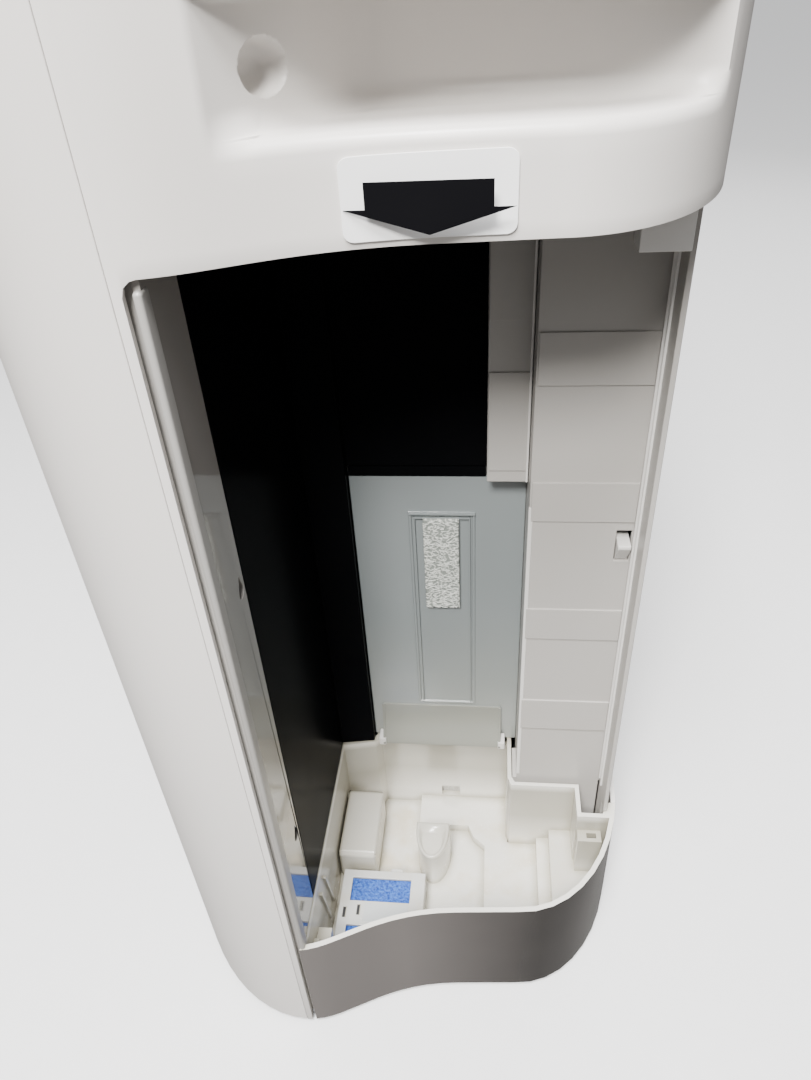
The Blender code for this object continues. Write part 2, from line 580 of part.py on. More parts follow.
def make_label():
    """Thin label with round corners that lies on the curved face above the opening."""
    face = clip(clip(side_path(), 1, LABEL_Y[0], True), 1, LABEL_Y[1], False)
    r = LABEL_RADIUS
    ends = []
    for i in range(4):
        ends.append(r - r * cos(pi / 2 * i / 4))
    stations = [LABEL_Y[0] + e for e in ends] + [LABEL_Y[0] + r]
    stations += [y for _, y in face if LABEL_Y[0] + 1.5 * r < y < LABEL_Y[1] - 1.5 * r]
    stations += [LABEL_Y[1] - r] + [LABEL_Y[1] - e for e in ends[::-1]]
    bm = bmesh.new()
    rows = []
    for y in stations:
        end = max(r - min(y - LABEL_Y[0], LABEL_Y[1] - y), 0)
        drop = r - sqrt(max(r * r - end * end, 0)) * 0.98
        drop = drop if end else 0
        row = []
        for out in (GAP, GAP + LABEL_THICK):
            x = clip(offset(side_path(), out), 1, y, True)[0][0]
            row.append(bm.verts.new((x, y, LABEL_Z[0] + drop)))
            row.append(bm.verts.new((x, y, LABEL_Z[1] - drop)))
        rows.append(row)
    for a, b in zip(rows, rows[1:]):
        bm.faces.new((a[0], a[1], b[1], b[0]))
        bm.faces.new((a[2], a[3], b[3], b[2]))
        bm.faces.new((a[0], a[2], b[2], b[0]))
        bm.faces.new((a[1], a[3], b[3], b[1]))
    for row in (rows[0], rows[-1]):
        bm.faces.new((row[0], row[1], row[3], row[2]))
    add("arrow_label", bm, "label")


# ---- Drain tray --------------------------------------------------------------------------
def tray_face(inset, low_y, x_end=TRAY_TAIL_X):
    """The tray's bowed front, from its front end round the rear corner."""
    return clip(clip(offset(side_path(), -inset), 1, low_y, True), 0, x_end, True)


def tray_strip(y0, y1, x_back):
    """A region of the tray floor between two distances along Y, out to inside its front wall."""
    edge = clip(clip(offset(side_path(), -WALL / 2), 1, y0, True), 1, y1, False)
    return edge + [(x_back, y1), (x_back, y0)]


def front_at(inboard, behind):
    """A plan point, in from the tank side and back from the bay's front wall."""
    return (HALF_W - inboard, BAY_FRONT_Y + behind)


def rear_at(inboard, before):
    """A plan point, in from the tank side and forward from the bay's rear wall."""
    return (HALF_W - inboard, BAY_REAR_Y - before)


TRAY_LEFT_Y = BAY_FRONT_Y - 0.002              # outside of the tray's front-side wall
TRAY_REAR_Y = (front_at(0, 0.024)[1], rear_at(0, 0.056)[1])
FLOAT_PIN = (HALF_W - 0.1355, FLOAT_PIN_Z)


def make_tray():
    """Drain tray: a front well under the tank and a rear compartment under the machine."""
    face = tray_face(0, TRAY_SKIN_Y)
    left = TRAY_LEFT_Y
    back = TRAY_REAR_Y
    t = LINER_WALL
    jog = [(TRAY_TAIL_X, BAY_REAR_Y + 0.003), rear_at(0.0968, 0), rear_at(0.0968, 0.0132),
           rear_at(0.1178, 0.0132), rear_at(0.1178, 0.0540), rear_at(0.1218, 0.0560),
           (TRAY_REAR_X, back[1]), (TRAY_REAR_X, back[0]), (BAY_BACK_X - t, back[0]),
           front_at(0.1482, 0.0205), (HALF_W - 0.1440, left + 0.0005), (HALF_W - 0.1410, left)]
    tray = prism("drain_tray", face + jog + [(face[0][0] - 0.001, left)], TRAY_Z, TRAY_RIM,
                 "tray_white")
    skirt = wall(side_path(), WALL, (1, TRAY_SKIN_Y, True), (0, TRAY_TAIL_X, True))
    join(tray, prism("tray_skirt", skirt, FOOT_HEIGHT, TRAY_RIM - 0.01))

    inner = tray_face(WALL, BAY_FRONT_Y + GAP, HALF_W - 0.0940)
    well = inner + [rear_at(0.0940, 0.0158), rear_at(0.1153, 0.0158), rear_at(0.1153, 0.0563),
                    rear_at(0.1205, 0.0585), rear_at(0.1515, 0.0585), front_at(0.1515, 0.0260),
                    front_at(0.1460, 0.0222), front_at(0.1417, 0.0007), front_at(0.1395, GAP)]
    wick_end = BAY_BACK_X - 0.002
    rear = [(TRAY_REAR_X + t, back[0] + t), (wick_end, back[0] + t), (wick_end, back[1] - t),
            (TRAY_REAR_X + t, back[1] - t)]
    end = TRAY_REAR_X - 0.01
    cut(tray, prism("tray_well", well, TRAY_FLOOR, 0.2),
        prism("tray_rear_well", rear, TRAY_FLOOR - 0.003, 0.2),
        box("tray_rear_rim", (end, back[0] + 0.003, TRAY_REAR_RIM),
            (BAY_BACK_X + 0.002, back[1] - 0.003, 0.2)),
        box("tray_rear_end", (end, back[0] - 0.01, TRAY_REAR_RIM),
            (BAY_BACK_X - 0.006, back[1] + 0.01, 0.2)),
        box("tray_slot", (BAY_BACK_X - 0.003, front_at(0, 0.0665)[1], TRAY_FLOOR + 0.009),
            (BAY_BACK_X + 0.003, front_at(0, 0.0795)[1], TRAY_FLOOR + 0.019)),
        prism("float_hole", circle(FLOAT_PIN, FLOAT_PIN_RADIUS + GAP, 12), left - 0.01,
              left + 0.01, axis="Y"))

    low = TRAY_FLOOR - 0.001
    step_y, shelf_y, block_y = (rear_at(0, d)[1] for d in (0.0380, 0.0300, 0.0155))
    platform = [front_at(0.1525, 0.0515), front_at(0.1275, 0.0515), front_at(0.1275, 0.0862),
                front_at(0.1190, 0.0900), front_at(0.1120, 0.0980)]
    outer = tray_strip(platform[-1][1], step_y + 0.0005, 0)[:-2]
    platform += outer + [(HALF_W - 0.1160, step_y + 0.0005), rear_at(0.1160, 0.0575),
                         rear_at(0.1525, 0.0575)]
    x, y = front_at(0.107, 0.0635)
    turns = [radians(9 * i) for i in range(-10, 11)]
    post = [(x - 0.004, y - 0.011)] + [(x + 0.021 * cos(a), y + 0.011 * sin(a)) for a in turns]
    post.append((x - 0.004, y + 0.011))
    guide, bracket = front_at(0.028, 0), rear_at(0.0950, 0)
    join(tray, prism("tray_platform", platform, low, TRAY_PLATFORM),
         prism("tray_step", tray_strip(step_y, shelf_y + 0.0005, HALF_W - 0.1165), low,
               TRAY_PLATFORM + 0.008),
         prism("tray_shelf", tray_strip(shelf_y, block_y + 0.0005, HALF_W - 0.1165), low,
               TRAY_SHELF),
         prism("tray_shelf_end", tray_strip(block_y, BAY_REAR_Y - 0.0005, HALF_W - 0.0950), low,
               TRAY_SHELF),
         prism("valve_post", post, low, 0.045),
         box("float_guide", (guide[0], left + 0.001, low), (guide[0] + 0.008, guide[1] + 0.0085, 0.060)),
         box("corner_bracket", (bracket[0], block_y + 0.0005, TRAY_SHELF - 0.001),
             (bracket[0] + 0.009, BAY_REAR_Y - 0.0005, TRAY_RIM - 0.014)))
    cut(tray, box("bracket_slot", (bracket[0] + 0.003, block_y + 0.006, TRAY_RIM - 0.027),
                  (bracket[0] + 0.0065, block_y + 0.012, TRAY_RIM)))


def make_tray_fittings():
    """Float, water cartridge with its sponge, and the wick in the rear compartment."""
    x0 = FLOAT_PIN[0] - 0.002
    y0, y1 = BAY_FRONT_Y + 0.0013, BAY_FRONT_Y + 0.0260
    body = rounded((x0, TRAY_FLOOR + 0.001), (x0 + 0.0515, TRAY_FLOOR + 0.030), 0.003, 3)
    lift = prism("float_block", body, y0, y1, "tray_white", "Y")
    join(lift, prism("float_pin", circle(FLOAT_PIN, FLOAT_PIN_RADIUS, 12), BAY_FRONT_Y - 0.0012,
                     y0 + 0.001, axis="Y"))

    c = GAP
    low, top = TRAY_FLOOR + c, CARTRIDGE_TOP
    skin = 0.0015
    (x0, y0), (x1, y1) = front_at(0.081, 0.0057), front_at(0.035, 0.0595)
    notch = y0 + 0.0053
    front = clip(clip(offset(side_path(), -WALL - skin), 1, notch, True), 1, y1, False)
    plan = [(x1, notch)] + front + [(x0, y1), (x0, y0), (x1, y0)]
    case = prism("cartridge_case", plan, low, top, "case_grey")

    def inside(d):
        return [(x0 + d, y0 + d), (x1 - d, y0 + d), (x1 - d, notch + d), (x1 + 0.006 - d, notch + d),
                (x1 + 0.002 - d, y1 - 0.0005 - d), (x0 + d, y1 - 0.0005 - d)]
    cut(case, prism("case_hollow", inside(skin), 0, top - 0.002))
    tab = [front_at(*p) for p in ((0.079, 0.0355), (0.0835, 0.0370), (0.0835, 0.0440),
                                  (0.079, 0.0455))]
    join(case, prism("case_tab", tab, top - 0.002, top - c))
    for i, (x, length) in enumerate(((x0 + 0.005, 0.016), (x0 + 0.037, 0.0135))):
        cut(case, box(f"case_window_{i}", (x, y0 + 0.0063, 0), (x + length, y1 - 0.009, 0.1)))
    for i, (x, y) in enumerate((front_at(0.052, 0.0097), front_at(0.054, 0.0185))):
        cut(case, box(f"case_slot_{i}", (x - 0.0035, y - 0.0011, top - 0.0015),
                      (x + 0.0035, y + 0.0011, top + 0.01)))
    prism("cartridge_sponge", inside(skin + GAP + 0.0001), low, top - 0.002 - c, "sponge_blue")

    x0, x1 = TRAY_REAR_X + LINER_WALL + SLIDE_GAP, BAY_BACK_X - 0.002 - SLIDE_GAP
    a, b = TRAY_REAR_Y[0] + LINER_WALL + SLIDE_GAP, TRAY_REAR_Y[1] - LINER_WALL - SLIDE_GAP
    folds = 8
    ridge = [(x0 + (x1 - x0) * i / (2 * folds), a if i % 2 else a + 0.004)
             for i in range(2 * folds + 1)]
    far = [(x, y + b - a - 0.004) for x, y in ridge][::-1]
    prism("wick_filter", ridge + far, TRAY_FLOOR - 0.003 + c, TRAY_REAR_RIM - 0.002, "filter_white")


# ---- Machine inside ----------------------------------------------------------------------
def gear_outline(centre, teeth, turn):
    """Closed outline of a spur gear with straight-sided teeth."""
    pitch_radius = GEAR_MODULE * teeth / 2
    root, tip = pitch_radius - 1.15 * GEAR_MODULE, pitch_radius + 0.7 * GEAR_MODULE
    step = 2 * pi / teeth
    points = []
    for i in range(teeth):
        middle = turn + i * step
        for share, radius in ((-0.24, root), (-0.11, tip), (0.11, tip), (0.24, root)):
            a = middle + share * step
            points.append((centre[0] + radius * cos(a), centre[1] + radius * sin(a)))
    return points


def make_wheel():
    """Moisture wheel on its frame, its pinion and motor, the heater and the condenser."""
    t = LINER_WALL
    x0, x1 = -(HALF_W - WAIST_INSET) + 0.006, BULKHEAD_X - GAP
    leg = TRAY_REAR_X - 0.004
    plate = [(x0, PAN_TOP + GAP), (leg, PAN_TOP + GAP), (leg, LINER_Z), (x1, LINER_Z),
             (x1, BAY_CEILING), (x0, BAY_CEILING)]
    frame = prism("wheel_frame", plate, *FRAME_Y, "frame_plastic", "Y")
    wheel_radius = GEAR_MODULE * WHEEL_TEETH / 2
    window = wheel_radius - 0.006
    cut(frame, prism("wheel_window", circle(WHEEL_AT, window, 48), 0, HALF_D, axis="Y"))
    bar = 0.004
    cx, cz = WHEEL_AT
    pin_end = WHEEL_Y[1] + 0.002
    join(frame,
         box("spoke_flat", (cx - window - 0.002, FRAME_Y[0], cz - bar),
             (cx + window + 0.002, FRAME_Y[1], cz + bar)),
         box("spoke_up", (cx - bar, FRAME_Y[0] + 0.0002, cz - window - 0.002),
             (cx + bar, FRAME_Y[1] - 0.0002, cz + window + 0.002)),
         prism("wheel_axle", circle(WHEEL_AT, WHEEL_AXLE, 24), FRAME_Y[0] + 0.001, pin_end,
               axis="Y"))

    wheel = prism("desiccant_wheel", gear_outline(WHEEL_AT, WHEEL_TEETH, 0.0), WHEEL_Y[0],
                  WHEEL_Y[0] + GEAR_THICK, "zeolite", "Y")
    join(wheel, prism("wheel_drum", circle(WHEEL_AT, wheel_radius - 0.0038, 60),
                      WHEEL_Y[0] + GEAR_THICK - 0.001, WHEEL_Y[1], axis="Y"))
    cut(wheel, prism("wheel_bore", circle(WHEEL_AT, WHEEL_AXLE + GAP, 24), 0, HALF_D, axis="Y"))

    reach = GEAR_MODULE * (WHEEL_TEETH + PINION_TEETH) / 2 + 0.0002
    at = (cx + reach * cos(PINION_ANGLE), cz + reach * sin(PINION_ANGLE))
    phase = (PINION_ANGLE * WHEEL_TEETH / (2 * pi)) % 1
    turn = PINION_ANGLE + pi + 2 * pi / PINION_TEETH * (phase + 0.5)
    pinion = prism("wheel_pinion", gear_outline(at, PINION_TEETH, turn), WHEEL_Y[0],
                   WHEEL_Y[0] + GEAR_THICK, "filter_white", "Y")
    shaft = 0.0025
    cut(pinion, prism("pinion_bore", circle(at, shaft + GAP, 16), 0, HALF_D, axis="Y"))
    cut(frame, prism("pinion_hole", circle(at, shaft + 0.002, 16), 0, HALF_D, axis="Y"))
    motor = prism("wheel_motor", circle(at, 0.018, 28), FRAME_Y[0] - 0.020, FRAME_Y[0] - GAP,
                  "steel", "Y")
    join(motor, prism("wheel_motor_shaft", circle(at, shaft, 16), FRAME_Y[0] - 0.001,
                      WHEEL_Y[0] + GEAR_THICK + 0.0005, axis="Y"))

    sweep = [radians(60 + 60 * i / 10) for i in range(11)]
    inner, outer = 0.020, wheel_radius - 0.004
    sector = [(cx + outer * cos(a), cz + outer * sin(a)) for a in sweep]
    sector += [(cx + inner * cos(a), cz + inner * sin(a)) for a in sweep[::-1]]
    heater = prism("heater_box", sector, WHEEL_Y[1] + 0.0008, CONDENSER_Y[0] - GAP, "steel", "Y")
    join(heater, box("heater_arm", (cx - 0.010, FRAME_Y[1] + GAP, cz + wheel_radius + 0.004),
                     (cx + 0.010, CONDENSER_Y[0] - GAP, cz + wheel_radius + 0.010)),
         box("heater_neck", (cx - 0.010, WHEEL_Y[1] + 0.001, cz + outer - 0.006),
             (cx + 0.010, CONDENSER_Y[0] - GAP - 0.0002, cz + wheel_radius + 0.006)))

    fins = 18
    left, right = BULKHEAD_X - 0.1464, BULKHEAD_X - GAP
    depth = CONDENSER_Y[1] - CONDENSER_Y[0]
    ridge = [(left + (right - left) * i / (2 * fins), CONDENSER_Y[0] + (depth / 2 if i % 2 else 0))
             for i in range(2 * fins + 1)]
    far = [(x, y + depth / 2) for x, y in ridge][::-1]
    prism("condenser", ridge + far, INTAKE_Z[0] + 0.010, BAY_CEILING, "aluminium")


def scroll(inset):
    """Scroll of the main fan, seen from behind, with its neck going up on the left."""
    cx, cz = FAN_AT
    steps = 28
    start, sweep = radians(60), radians(240)
    points = []
    for i in range(steps + 1):
        radius = SCROLL_START * (SCROLL_END / SCROLL_START) ** (i / steps) - inset
        a = start - sweep * i / steps
        points.append((cx + radius * cos(a), cz + radius * sin(a)))
    top = NECK_TOP + (0.02 if inset else 0)
    return points + [(points[-1][0], top), (points[0][0], top)]


def make_fan():
    """Main fan: wheel, shaft, motor, scroll housing with its legs, cover, and the duct up."""
    t = LINER_WALL
    cx, cz = FAN_AT
    housing = prism("fan_housing", scroll(0), *HOUSING_Y, "dark_plastic", "Y")
    for side, x in (("left", cx - 0.05), ("right", cx + 0.05)):
        join(housing, box(f"fan_leg_{side}", (x - 0.002, HOUSING_Y[0] + 0.001, PAN_TOP + GAP),
                          (x + 0.002, HOUSING_Y[1] - 0.001, cz - SCROLL_START + 0.02)))
    cut(housing, prism("housing_hollow", scroll(t), HOUSING_Y[0] + t, HOUSING_Y[1] + 0.01, axis="Y"),
        prism("housing_hole", circle(FAN_AT, SHAFT_RADIUS + 0.002, 24), HOUSING_Y[0] - 0.01,
              HOUSING_Y[0] + 0.01, axis="Y"))
    cover = prism("fan_cover", scroll(0), HOUSING_Y[1] + GAP, COVER_REAR_Y, "dark_plastic", "Y")
    cut(cover, prism("fan_inlet", circle(FAN_AT, FAN_RADIUS - 0.013, 40), -0.1, 0, axis="Y"))

    wheel = prism("fan_wheel", circle(FAN_AT, FAN_RADIUS, 48), FAN_Y[0], FAN_Y[0] + 0.002,
                  "dark_plastic", "Y")
    join(wheel, prism("fan_hub", circle(FAN_AT, 0.012, 24), FAN_Y[0] - 0.001, FAN_Y[0] + 0.020,
                      axis="Y"))
    for i in range(FAN_BLADES):
        join(wheel, make_blade(i))
    ring = prism("fan_ring", circle(FAN_AT, FAN_RADIUS, 48), FAN_Y[1] - 0.003, FAN_Y[1], axis="Y")
    cut(ring, prism("fan_ring_hole", circle(FAN_AT, FAN_RADIUS - 0.011, 48), -0.1, 0, axis="Y"))
    join(wheel, ring)
    cut(wheel, prism("fan_bore", circle(FAN_AT, SHAFT_RADIUS + GAP, 20), -0.2, 0, axis="Y"))
    prism("fan_shaft", circle(FAN_AT, SHAFT_RADIUS, 20), FAN_Y[0] - 0.032, FAN_Y[0] + 0.022,
          "steel", "Y")
    motor = prism("fan_motor", circle(FAN_AT, 0.030, 36), HOUSING_Y[0] - 0.030, HOUSING_Y[0] - GAP,
                  "steel", "Y")
    cut(motor, prism("motor_bore", circle(FAN_AT, SHAFT_RADIUS + GAP, 20), HOUSING_Y[0] - 0.027,
                     0, axis="Y"))

    neck = scroll(0)
    low = ((neck[-2][0], HOUSING_Y[0]), (neck[-1][0], COVER_REAR_Y))
    high = ((-OUTLET_X - t, OUTLET_Y[0] - t), (OUTLET_X + t, OUTLET_Y[1] + t))
    make_duct("outlet_duct", low, NECK_TOP + GAP, high, DUCT_TOP, t)


def make_blade(index):
    """One forward-curved blade of the fan wheel, as a thin slanted plate."""
    mid, half, thick = FAN_RADIUS - 0.0065, 0.0052, 0.0006
    around = 2 * pi * (index + 0.5) / FAN_BLADES
    lean = around + radians(35)
    centre = (FAN_AT[0] + mid * cos(around), FAN_AT[1] + mid * sin(around))
    corners = []
    for along, across in ((-half, -thick), (half, -thick), (half, thick), (-half, thick)):
        corners.append((centre[0] + along * cos(lean) - across * sin(lean),
                        centre[1] + along * sin(lean) + across * cos(lean)))
    return prism(f"fan_blade_{index}", corners, FAN_Y[0] + 0.001, FAN_Y[1] - 0.001, axis="Y")


def make_duct(name, low, low_z, high, high_z, thickness):
    """A four-sided duct between two rectangles, open at both ends."""
    bm = bmesh.new()
    rings = []
    for rect, z in ((low, low_z), (high, high_z)):
        for inset in (0, thickness):
            (x0, y0), (x1, y1) = rect
            x0, y0, x1, y1 = x0 + inset, y0 + inset, x1 - inset, y1 - inset
            rings.append([bm.verts.new((x, y, z))
                          for x, y in ((x0, y0), (x1, y0), (x1, y1), (x0, y1))])
    low_out, low_in, high_out, high_in = rings
    for a, b in ((low_out, high_out), (high_out, high_in), (high_in, low_in), (low_in, low_out)):
        for i in range(4):
            j = (i + 1) % 4
            bm.faces.new((a[i], a[j], b[j], b[i]))
    add(name, bm, "dark_plastic")


# ---- Top ---------------------------------------------------------------------------------
def make_top_cover():
    """Top cover: a shallow lid with a round edge, an outlet collar and a seat for the controls."""
    outer = [(0.0, COVER_Z)]
    for i in range(6):
        a = pi / 2 * i / 5
        outer.append((TOP_RADIUS * (1 - cos(a)), HEIGHT - TOP_RADIUS + TOP_RADIUS * sin(a)))
    inner = [(WALL + inset * 0.8, z - WALL * (i > 0)) for i, (inset, z) in enumerate(outer)]
    bm = bmesh.new()
    rings = []
    for inset, z in outer + inner[::-1]:
        rings.append([bm.verts.new((x, y, z)) for x, y in full_outline(inset)])
    for a, b in zip(rings, rings[1:] + rings[:1]):
        if a is rings[len(outer) - 1]:
            bm.faces.new(a)
            bm.faces.new(b)
            continue
        for i in range(len(a)):
            j = (i + 1) % len(a)
            bm.faces.new((a[i], a[j], b[j], b[i]))
    cover = add("top_cover", bm, "casing")

    t = LINER_WALL
    under = HEIGHT - WALL / 2
    (x0, y0), (x1, y1) = (-OUTLET_X, OUTLET_Y[0]), (OUTLET_X, OUTLET_Y[1])
    seat = rounded((-PANEL_X, PANEL_Y[0]), (PANEL_X, PANEL_Y[1]), 0.008)
    ledge = rounded((-PANEL_X - t, PANEL_Y[0] - t), (PANEL_X + t, PANEL_Y[1] + t), 0.010)
    through = rounded((-PANEL_X + LEDGE, PANEL_Y[0] + LEDGE), (PANEL_X - LEDGE, PANEL_Y[1] - LEDGE),
                      0.005)
    join(cover, box("collar", (x0 - t, y0 - t, HEIGHT - WALL - COLLAR_DEPTH),
                    (x1 + t, y1 + t, under)),
         prism("panel_ledge", ledge, HEIGHT - PANEL_SEAT - 0.002, under))
    pin = (LOUVER_PIN_Y, HEIGHT - LOUVER_PIN_DROP)
    cut(cover, box("outlet_hole", (x0, y0, HEIGHT - 0.05), (x1, y1, HEIGHT + 0.01)),
        prism("panel_seat", seat, HEIGHT - PANEL_SEAT, HEIGHT + 0.01),
        prism("panel_through", through, HEIGHT - 0.05, HEIGHT + 0.01),
        prism("pin_holes", circle(pin, LOUVER_PIN + GAP, 16), x0 - t - 0.001, x1 + t + 0.001,
              axis="X"))


def make_louver():
    """Outlet louver that swings up on two pins, and the motor that turns it."""
    pin_z = HEIGHT - LOUVER_PIN_DROP
    top = HEIGHT - PANEL_SUNK
    edge = OUTLET_X - 2 * GAP
    louver = box("louver", (-edge, OUTLET_Y[0] + 2 * GAP, top - LOUVER_THICK),
                 (edge, LOUVER_PIN_Y + 0.0015, top), "casing")
    for side in (-1, 1):
        ends = sorted((side * edge, side * (edge - 0.004)))
        join(louver, box(f"louver_lug_{side}", (ends[0], LOUVER_PIN_Y - 0.002, pin_z - 0.002),
                         (ends[1], LOUVER_PIN_Y + 0.0012, top - 0.0005)))
        reach = sorted((side * (edge - 0.001), side * (OUTLET_X + LINER_WALL - 2 * GAP)))
        join(louver, prism(f"louver_pin_{side}", circle((LOUVER_PIN_Y, pin_z), LOUVER_PIN, 16),
                           *reach, axis="X"))
    wall_x = OUTLET_X + LINER_WALL + GAP
    box("louver_motor", (wall_x, LOUVER_PIN_Y - 0.010, DUCT_TOP + 2 * GAP),
        (wall_x + 0.014, LOUVER_PIN_Y + 0.010, HEIGHT - WALL - GAP), "dark_plastic")


def make_controls():
    """Control panel, its buttons and display lens, the board under them, the power board."""
    c = GAP
    plate = rounded((-PANEL_X + c, PANEL_Y[0] + c), (PANEL_X - c, PANEL_Y[1] - c), 0.008)
    low, top = HEIGHT - PANEL_SEAT + c, HEIGHT - PANEL_SUNK
    panel = prism("control_panel", plate, low, top, "gloss_black")
    w, h = BUTTON_SIZE
    for i, name in enumerate(BUTTON_NAMES):
        x = (i - (len(BUTTON_NAMES) - 1) / 2) * BUTTON_PITCH
        hole = rounded((x - w / 2 - c, BUTTON_Y - h / 2 - c), (x + w / 2 + c, BUTTON_Y + h / 2 + c),
                       0.0033)
        cut(panel, prism(name + "_hole", hole, low - 0.01, top + 0.01))
        cap = rounded((x - w / 2, BUTTON_Y - h / 2), (x + w / 2, BUTTON_Y + h / 2), 0.003)
        skirt = rounded((x - w / 2 - 0.001, BUTTON_Y - h / 2 - 0.001),
                        (x + w / 2 + 0.001, BUTTON_Y + h / 2 + 0.001), 0.003)
        button = prism(name, cap, low - 0.0028, HEIGHT - 0.0002, "case_grey")
        join(button, prism(name + "_skirt", skirt, low - 0.0030, low - 0.0018))
    a, b = DISPLAY_SIZE
    hole = rounded((-a / 2 - c, DISPLAY_Y - b / 2 - c), (a / 2 + c, DISPLAY_Y + b / 2 + c), 0.0033)
    cut(panel, prism("display_hole", hole, low - 0.01, top + 0.01))
    lens = rounded((-a / 2, DISPLAY_Y - b / 2), (a / 2, DISPLAY_Y + b / 2), 0.003)
    prism("display_lens", lens, low, top - 0.0002, "lens")

    side = PANEL_X - LEDGE - 0.001
    board_top = low - 0.0030 - BUTTON_TRAVEL - 0.0005
    board = box("control_board", (-side, PANEL_Y[0] + LEDGE + 0.001, board_top - 0.0016),
                (side, PANEL_Y[1] - LEDGE - 0.001, board_top), "board_green")
    for i, x in enumerate((-side + 0.002, side - 0.002)):
        for j, y in enumerate((-0.004, 0.022)):
            join(board, prism(f"standoff_{i}{j}", circle((x, y), 0.0015, 12), board_top - 0.001,
                              low - c))

    deck = PAN_TOP + 0.006
    power = box("power_board", (-0.140, -0.090, deck), (-0.070, -0.020, deck + 0.0016),
                "board_green")
    for i, x in enumerate((-0.136, -0.074)):
        for j, y in enumerate((-0.086, -0.024)):
            join(power, prism(f"power_leg_{i}{j}", circle((x, y), 0.002, 12), PAN_TOP + c,
                              deck + 0.001))
    join(power, prism("capacitor", circle((-0.120, -0.050), 0.009, 24), deck + 0.001, deck + 0.030),
         box("heat_sink", (-0.098, -0.080, deck + 0.001), (-0.090, -0.035, deck + 0.028)))


def clear_scene():
    """Removes what the scene already holds."""
    for obj in list(bpy.data.objects):
        bpy.data.objects.remove(obj, do_unlink=True)


def main():
    """Builds every sub-part."""
    clear_scene()
    make_base()
    make_front_panel()
    make_side_panels()
    make_rear_panel()
    make_rear_fittings()
    make_bay()
    make_tray()
    make_tray_fittings()
    make_wheel()
    make_fan()
    make_top_cover()
    make_louver()
    make_controls()


main()
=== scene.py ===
# %% [markdown]
# # A room dehumidifier with its tank bay open
#
# The machine is a tall casing with a waisted plan. The water tank is out, so the camera looks
# down into the bay: glossy black liners, a grey splash cover, a pale ribbed wall, and the bowed
# drain tray at the foot. The design is already made as solids. This script gives it its looks:
# softened edges, small moulded details, and a procedural finish for every surface.

import json
from math import cos, radians, sin

import bmesh
import bpy
from mathutils import Matrix, Vector, noise as waves


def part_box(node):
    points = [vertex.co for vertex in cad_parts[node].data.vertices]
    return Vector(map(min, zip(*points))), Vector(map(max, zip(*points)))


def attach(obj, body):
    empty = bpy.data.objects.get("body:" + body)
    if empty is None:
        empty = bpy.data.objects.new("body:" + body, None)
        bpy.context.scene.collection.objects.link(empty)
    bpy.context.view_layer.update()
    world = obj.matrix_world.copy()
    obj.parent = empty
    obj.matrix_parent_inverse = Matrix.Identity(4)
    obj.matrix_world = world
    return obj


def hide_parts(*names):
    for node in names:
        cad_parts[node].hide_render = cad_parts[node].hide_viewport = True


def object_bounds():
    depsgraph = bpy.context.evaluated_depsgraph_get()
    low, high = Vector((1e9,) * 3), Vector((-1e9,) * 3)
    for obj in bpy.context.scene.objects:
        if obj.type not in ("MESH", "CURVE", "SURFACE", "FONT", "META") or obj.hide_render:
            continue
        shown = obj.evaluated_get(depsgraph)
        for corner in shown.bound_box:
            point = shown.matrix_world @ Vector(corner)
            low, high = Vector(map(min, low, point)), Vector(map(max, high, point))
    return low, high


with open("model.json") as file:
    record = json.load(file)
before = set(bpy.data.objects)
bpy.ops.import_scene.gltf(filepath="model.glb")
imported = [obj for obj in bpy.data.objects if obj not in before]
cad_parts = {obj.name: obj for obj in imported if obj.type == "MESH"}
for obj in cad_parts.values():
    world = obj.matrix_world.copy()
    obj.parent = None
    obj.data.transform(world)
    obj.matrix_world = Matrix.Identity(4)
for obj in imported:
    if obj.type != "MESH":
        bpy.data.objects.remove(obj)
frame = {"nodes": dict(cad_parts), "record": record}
cad_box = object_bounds()
MM = 0.001

for thing in ("Cube", "Light", "Camera"):
    if thing in bpy.data.objects:
        bpy.data.objects.remove(bpy.data.objects[thing])

# %% [markdown]
# ## Camera, light and floor
#
# The machine is seen from close by and from above, so its verticals converge strongly. A plain
# perspective camera with no shift does the same. The light is a soft panel high up on the tank
# side, one over the bay, a weak one from behind, and a dim surround: plastic shows its
# finish through broad reflections, so large panels suit it better than small lamps. The panels
# stand so that the wall under the grip stays in shade at the top, while the tray is well lit.

# %% Camera
camera_data = bpy.data.cameras.new("camera")
camera_data.lens = 26.667
camera_data.sensor_width = 36
camera_data.clip_start = 0.01
camera = bpy.data.objects.new("camera", camera_data)
bpy.context.scene.collection.objects.link(camera)
right = Vector((-0.09164, 0.99443, -0.05133))
up = Vector((-0.59297, -0.01309, 0.80511))
backward = Vector((0.79994, 0.10422, 0.59090))
turn = Matrix((right, up, backward)).transposed().to_4x4()
camera.matrix_world = Matrix.Translation((0.397, 0.066, 0.525)) @ turn
bpy.context.scene.camera = camera
print("camera at", [round(v, 3) for v in camera.location])

# %% Light


def soft_panel(name, place, target, size, watts, tint):
    """A square area light that faces a target."""
    data = bpy.data.lights.new(name, "AREA")
    data.shape = "SQUARE"
    data.size = size
    data.energy = watts
    data.color = tint
    panel = bpy.data.objects.new(name, data)
    panel.location = place
    aim = Vector(target) - Vector(place)
    panel.rotation_euler = aim.to_track_quat("-Z", "Y").to_euler()
    bpy.context.scene.collection.objects.link(panel)
    return panel


soft_panel("tank_side", (1.22, -0.17, 1.57), (0.10, 0.02, 0.26), 0.36, 56, (1.0, 0.98, 0.95))
soft_panel("over_bay", (0.62, -0.05, 1.75), (0.11, 0.05, 0.05), 0.42, 60, (0.99, 0.99, 1.0))
soft_panel("far_side", (-1.5, 0.9, 1.3), (0.0, 0.0, 0.35), 1.2, 14, (1.0, 1.0, 1.0))


